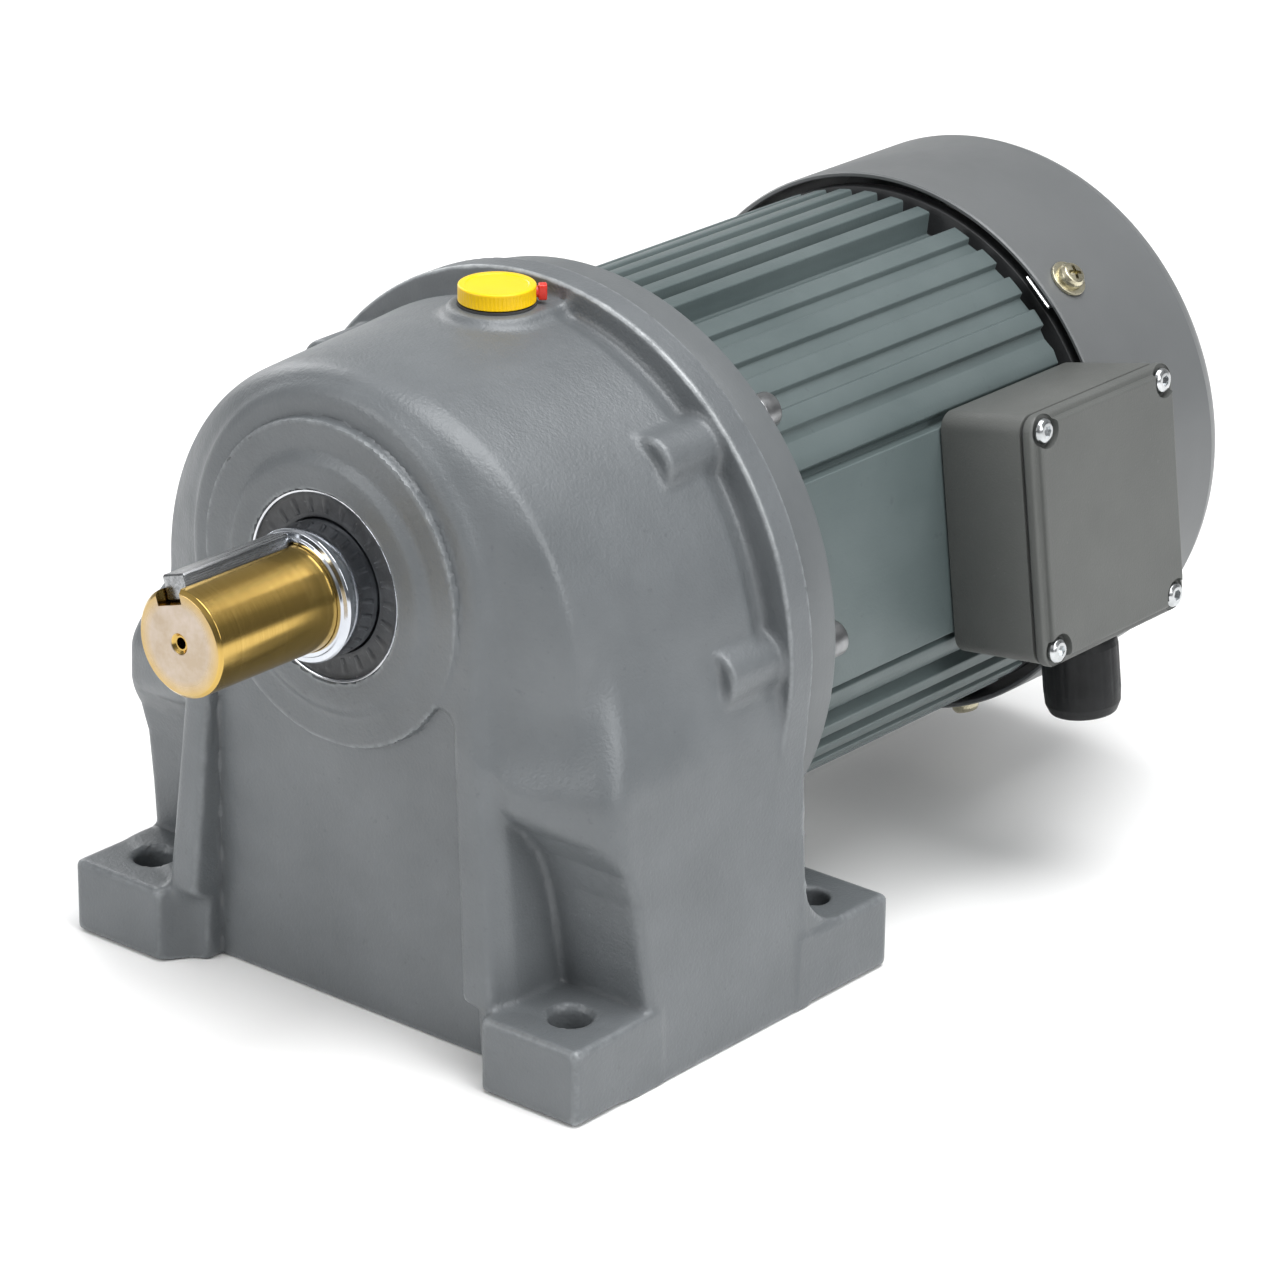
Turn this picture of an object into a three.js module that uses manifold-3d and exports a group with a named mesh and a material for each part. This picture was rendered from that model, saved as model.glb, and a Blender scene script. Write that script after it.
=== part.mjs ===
// Foot-mounted helical gear reducer with its flanged three-phase motor.
// Millimetres, +Z up. Origin: centre of the foot bolt pattern on the mounting plane.
// The output shaft points to -Y, the motor to +Y, the terminal box to +X.
// Axial positions are written as distances from the front face of the feet
// and turned into frame coordinates by at().
import * as THREE from 'three';
import { mergeVertices } from 'three/addons/utils/BufferGeometryUtils.js';
import Module from 'manifold-3d';

const wasm = await Module();
wasm.setup();

// ---------------------------------------------------------------- dimensions
const BASE_W = 175;          // over the feet, across the shaft
const BASE_L = 125;          // over the feet, along the shaft
const FOOT_W = 31.7;
const FOOT_L = 33;
const FOOT_H = 20.5;
const HOLE_X = 72.5;         // foot hole pattern 145 x 95
const HOLE_Y = 47.5;
const HOLE_R = 5.5;
const OUT_H = 119.2;         // output axis height
const MOT_H = 95.1;          // motor axis height
const SHAFT_R = 14;          // drive end 28 mm
const SHAFT_TIP = -45.7;     // from the front face of the feet
const SHAFT_STEP = -1.8;
const COLLAR_R = 16.8;
const SEAL_R = 24.65;
const FLANGE_R = 86.9;       // gearbox flange
const FLANGE_Y0 = 82.5;
const FLANGE_Y1 = 91.4;
const MFLANGE_R = 84.35;     // motor flange
const MFLANGE_Y0 = 92.5;
const MFLANGE_Y1 = 103.8;
const FIN_R = 73.7;          // over the fins
const ROOT_R = 66.5;         // at the foot of the fins
const FRAME_BORE = 60;
const FRAME_Y1 = 237.7;
const COVER_R = 77.7;        // fan cover
const COVER_Y0 = 232.8;
const COVER_Y1 = 292;
const BOX_TILT = 7 * Math.PI / 180;   // terminal box turned up about the motor axis
const BOX_Y = 202.5;
const BOX_FACE = 100;        // outer face of the box cover from the motor axis
const LUG_R = 79;            // flange screw circle
const LUG_ANGLES = [45, 90, 135, 225, 270, 315];
// gears: two helical stages
const M1 = 1.5, Z1 = 11, Z2 = 41;     // motor pinion, intermediate gear
const M2 = 2, Z3 = 13, Z4 = 39;       // intermediate pinion, output gear
const A1 = M1 * (Z1 + Z2) / 2, A2 = M2 * (Z3 + Z4) / 2;
const AXIS_GAP = OUT_H - MOT_H;
const IZ = (AXIS_GAP * AXIS_GAP + A1 * A1 - A2 * A2) / (2 * AXIS_GAP);
const IX = -Math.sqrt(A1 * A1 - IZ * IZ);
const INT_X = IX, INT_Z = MOT_H + IZ; // intermediate axis

const at = (d) => d - BASE_L / 2;
const rad = (deg) => deg * Math.PI / 180;

// ---------------------------------------------------------------- helpers
function toSolid(geometry) {
  let g = geometry.clone();
  for (const name of Object.keys(g.attributes)) if (name !== 'position') g.deleteAttribute(name);
  g = mergeVertices(g, 1e-4);
  const p = g.attributes.position.array, idx = g.index.array, tri = [];
  for (let i = 0; i < idx.length; i += 3)
    if (idx[i] !== idx[i + 1] && idx[i + 1] !== idx[i + 2] && idx[i] !== idx[i + 2]) tri.push(idx[i], idx[i + 1], idx[i + 2]);
  let vol = 0;
  for (let i = 0; i < tri.length; i += 3) {
    const [a, b, c] = [tri[i] * 3, tri[i + 1] * 3, tri[i + 2] * 3];
    vol += p[a] * (p[b + 1] * p[c + 2] - p[b + 2] * p[c + 1]) - p[a + 1] * (p[b] * p[c + 2] - p[b + 2] * p[c]) + p[a + 2] * (p[b] * p[c + 1] - p[b + 1] * p[c]);
  }
  if (vol < 0) for (let i = 0; i < tri.length; i += 3) [tri[i + 1], tri[i + 2]] = [tri[i + 2], tri[i + 1]];
  return new wasm.Manifold(new wasm.Mesh({ numProp: 3, vertProperties: new Float32Array(p), triVerts: new Uint32Array(tri) }));
}
function toGeometry(solid) {
  const m = solid.getMesh();
  const g = new THREE.BufferGeometry();
  const n = m.numProp, v = new Float32Array(m.vertProperties.length / n * 3);
  for (let i = 0; i < v.length / 3; i++) for (let k = 0; k < 3; k++) v[3 * i + k] = m.vertProperties[n * i + k];
  g.setAttribute('position', new THREE.BufferAttribute(v, 3));
  g.setIndex(new THREE.BufferAttribute(new Uint32Array(m.triVerts), 1));
  g.computeVertexNormals();
  return g;
}
const S = (x) => (x.isBufferGeometry ? toSolid(x) : x);
const join = (first, ...rest) => rest.flat().reduce((a, b) => a.add(S(b)), S(first));
const cut = (first, ...rest) => rest.flat().reduce((a, b) => a.subtract(S(b)), S(first));
const common = (first, ...rest) => rest.flat().reduce((a, b) => a.intersect(S(b)), S(first));

// facets round a full turn for a requested fineness
const facets = (n) => Math.max(8, Math.round(n * 0.58));
// solid of revolution about a line along Y; profile points are [radius, distance]
function turned(profile, x = 0, z = 0, seg = 32) {
  const pts = profile.map(([r, d]) => new THREE.Vector2(r, at(d)));
  if (profile[0][0] > 0) pts.push(pts[0].clone());
  return new THREE.LatheGeometry(pts, facets(seg)).translate(x, 0, z);
}
const ring = (r0, r1, d0, d1, x = 0, z = 0, seg = 32) =>
  turned(r0 > 0 ? [[r0, d0], [r1, d0], [r1, d1], [r0, d1]] : [[0, d0], [r1, d0], [r1, d1], [0, d1]], x, z, seg);
// outline in the XZ plane extruded along Y between two distances
function prism(points, d0, d1, holes = []) {
  const s = new THREE.Shape(points.map(([x, z]) => new THREE.Vector2(x, z)));
  for (const h of holes) s.holes.push(new THREE.Path(h.map(([x, z]) => new THREE.Vector2(x, z))));
  return new THREE.ExtrudeGeometry(s, { depth: d1 - d0, bevelEnabled: false }).rotateX(Math.PI / 2).translate(0, at(d1), 0);
}
const block = (x0, x1, d0, d1, z0, z1) =>
  new THREE.BoxGeometry(x1 - x0, d1 - d0, z1 - z0).translate((x0 + x1) / 2, at((d0 + d1) / 2), (z0 + z1) / 2);
const upright = (r, z0, z1, x, y, seg = 24) =>
  new THREE.CylinderGeometry(r, r, z1 - z0, facets(seg)).rotateX(Math.PI / 2).translate(x, y, (z0 + z1) / 2);
const circle = (r, x = 0, z = 0, n = 48, a0 = 0) =>
  Array.from({ length: n }, (_, i) => [x + r * Math.cos(a0 + 2 * Math.PI * i / n), z + r * Math.sin(a0 + 2 * Math.PI * i / n)]);

// closed loft through XZ sections with equal point counts
function loft(sections) {
  const n = sections[0].pts.length, pos = [], idx = [];
  for (const s of sections) for (const [x, z] of s.pts) pos.push(x, at(s.d), z);
  for (let k = 0; k + 1 < sections.length; k++)
    for (let i = 0; i < n; i++) {
      const j = (i + 1) % n, a = k * n + i, b = k * n + j, c = (k + 1) * n + j, e = (k + 1) * n + i;
      idx.push(a, b, c, a, c, e);
    }
  const cap = (k, flip) => {
    const tris = THREE.ShapeUtils.triangulateShape(sections[k].pts.map(([x, z]) => new THREE.Vector2(x, z)), []);
    for (const t of tris) flip ? idx.push(k * n + t[0], k * n + t[2], k * n + t[1]) : idx.push(k * n + t[0], k * n + t[1], k * n + t[2]);
  };
  cap(0, true);
  cap(sections.length - 1, false);
  const g = new THREE.BufferGeometry();
  g.setAttribute('position', new THREE.Float32BufferAttribute(pos, 3));
  g.setIndex(idx);
  return g;
}
// arch outline: round top about (0, zc), sides down to half width w at z = 0
function arch(r, zc, w, n = 14, low = 12) {
  const pts = [[w, 0]];
  for (let i = 0; i <= n; i++) {
    const a = rad(-low) + (Math.PI + 2 * rad(low)) * i / n;
    pts.push([r * Math.cos(a), zc + r * Math.sin(a)]);
  }
  pts.push([-w, 0]);
  return pts;
}
// involute gear section, tooth centre on the +X direction of the section
function gearOutline(m, z, add, thin, ded = 1.25) {
  const alpha = rad(20), r = m * z / 2, rb = r * Math.cos(alpha), ra = r + add, rf = r - ded * m;
  const inv = (a) => Math.tan(a) - a;
  const half = Math.PI / (2 * z) - thin / (2 * r) + inv(alpha);
  const flank = (rr) => (rr <= rb ? half : half - inv(Math.acos(rb / rr)));
  const radii = z < 20 ? [rf, Math.max(rb, rf + 0.2), r + add * 0.35, ra] : [rf, r - m * 0.3, ra];
  const pts = [];
  for (let i = 0; i < z; i++) {
    const c = 2 * Math.PI * i / z;
    for (const rr of radii) pts.push([rr * Math.cos(c - flank(rr)), rr * Math.sin(c - flank(rr))]);
    for (const rr of [...radii].reverse()) pts.push([rr * Math.cos(c + flank(rr)), rr * Math.sin(c + flank(rr))]);
  }
  return pts;
}
// helical gear about an axis along Y; twist is the turn over the face width
function gear(outline, d0, d1, x, z, phase, twist) {
  const turnAt = (a) => outline.map(([px, pz]) => [x + px * Math.cos(a) - pz * Math.sin(a), z + px * Math.sin(a) + pz * Math.cos(a)]);
  return loft([{ d: d0, pts: turnAt(phase - twist / 2) }, { d: d1, pts: turnAt(phase + twist / 2) }]);
}

// ---------------------------------------------------------------- materials
const mat = (color, roughness, metalness) => new THREE.MeshStandardMaterial({ color, roughness, metalness });
const castGrey = mat(0x767b7d, 0.5, 0.15);
const finGrey = mat(0x75807f, 0.5, 0.15);
const sheetGrey = mat(0x7d8082, 0.45, 0.15);
const boxGrey = mat(0x6f6e6b, 0.5, 0.05);
const goldSteel = mat(0xc09a48, 0.2, 1);
const steel = mat(0x9a9c9e, 0.3, 1);
const bright = mat(0xc8ccd0, 0.12, 1);
const darkSteel = mat(0x55585c, 0.4, 1);
const rubber = mat(0x26282a, 0.75, 0);
const blackPlastic = mat(0x151617, 0.5, 0);
const yellow = mat(0xf2c40c, 0.35, 0);
const red = mat(0xc92a1c, 0.4, 0);
const copper = mat(0xa85f32, 0.4, 0.8);
const zinc = mat(0xb7ab7c, 0.35, 0.9);
const paper = mat(0x8a7a5c, 0.8, 0);
const whitePlastic = mat(0xcfcabb, 0.5, 0);

const reducer = new THREE.Group();
function add(name, solid, material, parent = reducer) {
  const mesh = new THREE.Mesh(toGeometry(S(solid)), material);
  mesh.name = name;
  parent.add(mesh);
  return mesh;
}
const onFlange = (deg, r = LUG_R) => [r * Math.sin(rad(deg)), MOT_H + r * Math.cos(rad(deg))];

// ---------------------------------------------------------------- gearbox housing
// inner limit of the gear chamber, pulled in by a gap
const chamberLoft = (gap) => loft([[20, 46, 111, 50], [31, 56, 109, 60], [53, 66, 101, 70], [62.3, 76, 96, 80], [95, 76, 95, 80]].map(
  ([d, r, zc, w]) => ({ d, pts: arch(r - gap, zc, w - gap).map(([x, z]) => [x, Math.max(z, 12 + gap)]) })));
{
  const body = loft([
    { d: 8, pts: arch(50, OUT_H, 54) },
    { d: 14, pts: arch(56, 116.5, 58) },
    { d: 22, pts: arch(64, 109, 64) },
    { d: 32, pts: arch(71, 102.5, 72) },
    { d: 60, pts: arch(77, 98, 80) },
    { d: 84, pts: arch(81, 95.5, 84) },
  ]);
  const half = BASE_W / 2;
  const wallOutline = (w, low) => [[w, low], [w, 78], [w - 2, 90], [w - 6, 104], [w - 13, 118], [-w + 13, 118], [-w + 6, 104], [-w + 2, 90], [-w, 78], [-w, low]];
  const sideWall = loft([{ d: 31, pts: wallOutline(half - 1, 0) }, { d: 40, pts: wallOutline(half, 0) }, { d: FLANGE_Y1, pts: wallOutline(half, 0) }]);
  const shoulder = loft([{ d: 12, pts: wallOutline(54, 72) }, { d: 22, pts: wallOutline(76, 62) }, { d: 31.1, pts: wallOutline(half - 1, 54) }]);
  const feet = [];
  for (const s of [-1, 1]) {
    const x0 = s < 0 ? -half : half - FOOT_W, x1 = s < 0 ? -half + FOOT_W : half;
    feet.push(block(x0, x1, 0, FOOT_L, 0, FOOT_H), block(x0, x1, BASE_L - 36, BASE_L, 0, FOOT_H));
  }
  const flange = ring(0, FLANGE_R, FLANGE_Y0, FLANGE_Y1, 0, MOT_H, 64);
  const boss = turned([[0, 4.9], [31, 4.9], [33.2, 5.6], [33.2, 7], [41.2, 7], [42.1, 8], [46, 12], [46, 30], [0, 30]], 0, OUT_H, 40);
  const pad = turned([[0, 0], [13, 0], [11.5, 12.6], [0, 12.6]], 0, 0, 24).rotateX(Math.PI / 2).translate(0, at(69.6), 164 - at(0));
  const lugs = LUG_ANGLES.map((deg) => {
    const [x, z] = onFlange(deg, LUG_R - 1.5);
    return turned([[0, 69], [4.5, 69.3], [7, 72], [8, FLANGE_Y0 + 1], [0, FLANGE_Y0 + 1]], x, z, 14);
  });
  let h = join(body, sideWall, shoulder, feet, flange, boss, pad, lugs);
  // pockets over the front feet, recess between the front ribs
  for (const s of [-1, 1]) {
    const pocket = new THREE.ExtrudeGeometry(
      new THREE.Shape([[-5, FOOT_H], [31, FOOT_H], [31, 56], [20, 64], [10, 80], [-5, 110]].map(([d, z]) => new THREE.Vector2(at(d), z))),
      { depth: 60, bevelEnabled: false });
    // the outline lies in YZ, extruded along X
    pocket.rotateX(Math.PI / 2).rotateZ(Math.PI / 2);
    h = cut(h, s > 0 ? pocket.translate(56, 0, 0) : pocket.translate(-116, 0, 0));
  }
  h = cut(h, loft([
    { d: 0, pts: [[50, -1], [44, 62], [28, 78], [-28, 78], [-44, 62], [-50, -1]] },
    { d: 13.5, pts: [[48, -1], [40, 58], [24, 70], [-24, 70], [-40, 58], [-48, -1]] },
  ]));
  // rear of the body is open under and beside the flange between the rear feet
  h = cut(h, turned([[FLANGE_R + 0.01, FLANGE_Y1], [200, FLANGE_Y1], [200, FLANGE_Y1 + 60], [FLANGE_R + 0.01, FLANGE_Y1 + 60]], 0, 0, 8).translate(0, 0, -900));
  // gear chamber
  const innerBoss = join(ring(0, 38, 20, 31, 0, OUT_H, 32), ring(0, 16, 20, 31.2, INT_X, INT_Z, 24));
  const chamber = cut(join(
    ring(0, 64, 21, 53, 0, 98, 48),
    ring(0, 70, 52.9, 62.4, 0, 98, 48),
    ring(0, 75, 62.3, FLANGE_Y1 + 1, 0, MOT_H, 48),
    block(-72, 72, 62.3, 82, 14, 80),
  ), innerBoss);
  const front = common(chamber, chamberLoft(0));
  h = cut(h, front,
    ring(0, SEAL_R + 0.3, -1, 13.1, 0, OUT_H, 32),
    ring(0, 31.3, 14, 32, 0, OUT_H, 32),
    ring(0, 22, 12, 15, 0, OUT_H, 32),
    ring(0, 11.3, 20, 32, INT_X, INT_Z, 28));
  for (const sx of [-1, 1]) for (const sy of [-1, 1]) h = cut(h, upright(HOLE_R, -1, FOOT_H + 1, sx * HOLE_X, sy * HOLE_Y, 20));
  for (const deg of LUG_ANGLES) {
    const [x, z] = onFlange(deg);
    h = cut(h, ring(0, 3.4, 74, FLANGE_Y1 + 1, x, z, 12));
  }
  h = cut(h, upright(7.9, 150, 190, 0, at(69.6), 20));
  // drain hole in the left wall
  h = cut(h, new THREE.CylinderGeometry(5.4, 5.4, 40, 16).rotateZ(Math.PI / 2).translate(-78, at(72), 26),
    new THREE.CylinderGeometry(8.6, 8.6, 8, 18).rotateZ(Math.PI / 2).translate(-88, at(72), 26));
  add('gearbox_housing', h, castGrey);
}

// ---------------------------------------------------------------- output shaft
{
  let s = turned([[0, SHAFT_TIP], [13, SHAFT_TIP], [SHAFT_R, SHAFT_TIP + 1], [SHAFT_R, SHAFT_STEP], [15, SHAFT_STEP],
    [15, 31], [17, 31], [17, 52.2], [13, 52.2], [13, 53.6], [9.9, 53.6], [9.9, 65], [9, 66], [0, 66]], 0, OUT_H, 32);
  const keyway = block(-4.15, 4.15, SHAFT_TIP - 2, -8, OUT_H + 9.7, OUT_H + 20);
  const keywayEnd = upright(4.15, OUT_H + 9.7, OUT_H + 20, 0, at(-8), 16);
  const centre = turned([[0, SHAFT_TIP - 1], [3.2, SHAFT_TIP - 1], [3.2, SHAFT_TIP + 0.2], [1.9, SHAFT_TIP + 2], [1.9, SHAFT_TIP + 14], [0, SHAFT_TIP + 15]], 0, OUT_H, 16);
  const gearSlot = block(-3.2, 3.2, 35, 49, OUT_H + 13.2, OUT_H + 20);
  let k = cut(s, keyway, keywayEnd, centre);
  // the drive-end key lies 20 degrees round from the top, the inner key slot is upright
  const turn = (sol) => toSolid(toGeometry(sol).translate(0, 0, -OUT_H).rotateY(-rad(17)).translate(0, 0, OUT_H));
  add('output_shaft', cut(turn(k), gearSlot), goldSteel);
  const key = join(block(-3.85, 3.85, SHAFT_TIP + 1.5, -8, OUT_H + 10, OUT_H + 17), upright(3.85, OUT_H + 10, OUT_H + 17, 0, at(-8), 16));
  add('output_shaft_key', turn(key), steel);
  add('output_gear_key', block(-2.9, 2.9, 35.3, 48.7, OUT_H + 13.5, OUT_H + 19.3), steel);
  add('output_shaft_collar', ring(15.3, COLLAR_R, -1.5, 13.7, 0, OUT_H, 32), bright);
}
add('output_oil_seal', turned([[17.6, 6.2], [22.6, 6.2], [23.4, 4.7], [SEAL_R, 4.7], [SEAL_R, 12.7], [17.6, 12.7]], 0, OUT_H, 32), rubber);
add('output_front_bearing_inner_ring', ring(15.3, 19.8, 14.4, 30.3, 0, OUT_H, 28), steel);
add('output_front_bearing_outer_ring', ring(25.5, 31, 14.4, 30.3, 0, OUT_H, 32), steel);
add('output_rear_bearing_inner_ring', ring(10.3, 13.4, 54, 62, 0, OUT_H, 24), steel);
add('output_rear_bearing_outer_ring', ring(17.6, 21, 54, 62, 0, OUT_H, 28), steel);

// ---------------------------------------------------------------- gears
const toPinion = Math.atan2(INT_Z - MOT_H, INT_X);              // motor axis to intermediate axis
const toOutput = Math.atan2(OUT_H - INT_Z, -INT_X);             // intermediate axis to output axis
const TW1 = rad(20), TW3 = rad(14);                             // turn of each pinion over its face
const gear1 = gearOutline(M1, Z2, 0.7 * M1, 0.34);
const gear2 = gearOutline(M2, Z4, 0.8 * M2, 0.34);
add('output_gear', cut(gear(gear2, 34, 50, 0, OUT_H, toOutput + Math.PI + Math.PI / Z4, -TW3 * Z3 / Z4),
  ring(0, 17.6, 30, 55, 0, OUT_H, 44), block(-3.2, 3.2, 30, 55, OUT_H + 10, OUT_H + 19.6)), darkSteel);
{
  const pinion = gear(gearOutline(M2, Z3, 0.95 * M2, 0.34), 34, 50, INT_X, INT_Z, toOutput, TW3);
  const shaft = turned([[0, 20.4], [7.2, 20.4], [7.2, 31.6], [9.5, 31.6], [9.5, 34.5], [9.5, 49.5], [10, 52], [12, 70], [12, 73.6],
    [9.5, 73.6], [9.5, 86.2], [7.2, 86.2], [7.2, 97.2], [0, 97.2]], INT_X, INT_Z, 24);
  add('intermediate_shaft', cut(join(shaft, pinion), block(INT_X - 2.6, INT_X + 2.6, 75, 85, INT_Z + 6.5, INT_Z + 12)), darkSteel);
  add('intermediate_gear', cut(gear(gear1, 74, 86, INT_X, INT_Z, toPinion + Math.PI + Math.PI / Z2, -TW1 * Z1 / Z2),
    ring(0, 9.8, 70, 90, INT_X, INT_Z, 24), block(INT_X - 2.6, INT_X + 2.6, 70, 90, INT_Z + 5, INT_Z + 12)), darkSteel);
  add('intermediate_gear_key', block(INT_X - 2.3, INT_X + 2.3, 75.3, 84.7, INT_Z + 6.8, INT_Z + 11.7), steel);
  add('intermediate_needle_bearing', ring(8, 11, 20.7, 31, INT_X, INT_Z, 24), steel);
  add('intermediate_rear_bearing_inner_ring', ring(7.5, 10.4, 87, 97, INT_X, INT_Z, 20), steel);
  add('intermediate_rear_bearing_outer_ring', ring(14.4, 17.5, 87.5, 98, INT_X, INT_Z, 28), steel);
}
// bearing bridge across the gear chamber
{
  let b = common(ring(0, 69.6, 53.3, 62, 0, 98, 48), chamberLoft(0.4));
  b = cut(b, ring(0, 21.3, 50, 65, 0, OUT_H, 28), ring(0, 13.5, 50, 65, INT_X, INT_Z, 24), ring(0, 12, 50, 65, 34, 70, 20));
  add('bearing_bridge', b, castGrey);
}

// ---------------------------------------------------------------- filler plug, vent pin, drain plug
const PIN_ANGLE = rad(43);
{
  const y = at(69.6);
  let cap = new THREE.LatheGeometry([[0, 164], [7.2, 164], [7.2, 177.9], [10, 177.9], [10, 181.6], [9.3, 182.3], [0, 182.3]].map(([r, z]) => new THREE.Vector2(r, z)), 28).rotateX(Math.PI / 2).translate(0, y, 0);
  const hole = new THREE.CylinderGeometry(1.9, 1.9, 10, 12).rotateZ(Math.PI / 2).translate(8, 0, 180).rotateZ(PIN_ANGLE).translate(0, y, 0);
  add('oil_filler_plug', cut(cap, hole), yellow);
  const stem = new THREE.CylinderGeometry(1.5, 1.5, 6, 12).rotateZ(Math.PI / 2).translate(7.5, 0, 180).rotateZ(PIN_ANGLE).translate(0, y, 0);
  const head = new THREE.BoxGeometry(2.2, 3.2, 4.4).translate(11.5, 0, 180).rotateZ(PIN_ANGLE).translate(0, y, 0);
  add('vent_pin', join(stem, head), red);
  add('oil_plug_gasket', new THREE.LatheGeometry([[8.1, 176.9], [10.2, 176.9], [10.2, 177.6], [8.1, 177.6], [8.1, 176.9]].map(([r, z]) => new THREE.Vector2(r, z)), 24).rotateX(Math.PI / 2).translate(0, y, 0), rubber);
  let drain = join(
    new THREE.CylinderGeometry(5, 5, 12, 16).rotateZ(Math.PI / 2).translate(-81.8, at(72), 26),
    new THREE.CylinderGeometry(7.4, 7.4, 3.4, 20).rotateZ(Math.PI / 2).translate(-86.1, at(72), 26));
  drain = cut(drain, new THREE.CylinderGeometry(2.9, 2.9, 6, 6).rotateZ(Math.PI / 2).translate(-87, at(72), 26));
  add('drain_plug', drain, darkSteel);
}

// ---------------------------------------------------------------- flange joint
{
  let g = ring(76, 83.6, 91.7, 92.2, 0, MOT_H, 48);
  for (const deg of LUG_ANGLES) { const [x, z] = onFlange(deg); g = cut(g, ring(0, 3.4, 90, 94, x, z, 10)); }
  add('flange_gasket', g, paper);
  let f = turned([[0, 88], [74.1, 88], [74.1, MFLANGE_Y0], [MFLANGE_R, MFLANGE_Y0], [MFLANGE_R, MFLANGE_Y1], [68, MFLANGE_Y1], [66, 104.6], [59.6, 104.6],
    [59.6, 109], [54, 109], [50, 104], [27, 104], [27, 112], [0, 112]], 0, MOT_H, 56);
  f = cut(f,
    ring(0, 12.9, 80, 115, 0, MOT_H, 24),
    ring(0, 15.3, 80, 94.9, 0, MOT_H, 28),
    ring(0, 20.3, 98.6, 115, 0, MOT_H, 28),
    ring(0, 17.8, 80, 98.3, INT_X, INT_Z, 28));
  for (const deg of LUG_ANGLES) { const [x, z] = onFlange(deg); f = cut(f, ring(0, 3.4, 88, 106, x, z, 12)); }
  add('motor_flange', f, castGrey);
  LUG_ANGLES.forEach((deg, i) => {
    const [x, z] = onFlange(deg);
    add('flange_screw_' + (i + 1), cut(turned([[0, 76], [3, 76], [3, 104.1], [4.9, 104.1], [4.9, 110], [0, 110]], x, z, 12), ring(0, 2.6, 107, 111, x, z, 6)), steel);
  });
}

// ---------------------------------------------------------------- motor
{
  const pinion = gear(gearOutline(M1, Z1, 0.95 * M1, 0.34), 73, 87, 0, MOT_H, toPinion, TW1 * 14 / 12);
  const shaft = turned([[0, 73], [5.9, 73], [5.9, 87], [8.2, 87.6], [8.2, 112.4], [12, 112.4], [12, 224], [8.2, 224], [8.2, 252], [7.7, 252], [7.7, 275], [7, 276], [0, 276]], 0, MOT_H, 24);
  add('rotor_shaft', join(shaft, pinion), steel);
  add('rotor_core', ring(12.3, 37, 127, 203, 0, MOT_H, 40), darkSteel);
  add('stator_core', ring(38.4, 59.4, 125, 205, 0, MOT_H, 40), darkSteel);
  add('stator_winding_front', turned([[41, 113], [53, 113], [57, 117], [57, 124.7], [41, 124.7]], 0, MOT_H, 28), copper);
  add('stator_winding_rear', turned([[41, 205.3], [57, 205.3], [57, 215], [53, 219], [41, 219]], 0, MOT_H, 28), copper);
  add('motor_oil_seal', ring(8.9, 15, 88.4, 94.6, 0, MOT_H, 24), rubber);
  add('motor_front_bearing_inner_ring', ring(8.5, 11.4, 99, 111, 0, MOT_H, 24), steel);
  add('motor_front_bearing_outer_ring', ring(16.4, 20, 99, 111, 0, MOT_H, 28), steel);
  add('motor_rear_bearing_inner_ring', ring(8.5, 11.4, 226, 238, 0, MOT_H, 24), steel);
  add('motor_rear_bearing_outer_ring', ring(16.4, 20, 226, 238, 0, MOT_H, 28), steel);
  add('wave_washer', ring(16, 19.6, 238.4, 239.6, 0, MOT_H, 20), steel);
}
// finned frame: section angles run from straight up towards +X, turned with the terminal box
{
  const pts = [];
  const P = (r, deg) => { const a = rad(deg) - BOX_TILT; pts.push([r * Math.sin(a), MOT_H + r * Math.cos(a)]); };
  const lands = [[1.7, 5.3], [8.8, 12.4], [16.0, 19.6], [26.5, 30.8], [34.6, 39.2], [43.2, 47.8], [52, 56]];
  const fin = ([a, b]) => { P(ROOT_R, a - 0.6); P(FIN_R, a); P(FIN_R, b); P(ROOT_R, b + 0.6); };
  // upper right quarter, box pad, lower right quarter
  lands.forEach(fin);
  P(71.5, 58.5); P(72.2, 64.6); P(69.2, 65.2); P(68.6, 66.3);
  P(73.7, 67.4);
  const flatHalf = Math.asin(Math.min(1, 28.3 / 73.7));
  P(73.7, 112.6); P(68.6, 113.7); P(69.2, 114.8); P(72.2, 115.4); P(71.5, 121.5);
  [...lands].reverse().forEach(([a, b]) => fin([180 - b, 180 - a]));
  lands.forEach(([a, b]) => fin([180 + a, 180 + b]));
  for (let a = 240; a < 300; a += 8.6) fin([a - 0.5, a + 3.6]);
  [...lands].reverse().forEach(([a, b]) => fin([360 - b, 360 - a]));
  let f = prism(pts, 104.9, FRAME_Y1, [circle(FRAME_BORE, 0, MOT_H, 32)]);
  // wire hole through the pad
  const wire = new THREE.CylinderGeometry(9, 9, 30, 18).rotateZ(Math.PI / 2).translate(66, 0, 0).rotateY(-BOX_TILT).translate(0, at(BOX_Y), MOT_H);
  f = cut(f, wire);
  add('motor_frame', f, finGrey);
}
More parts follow.
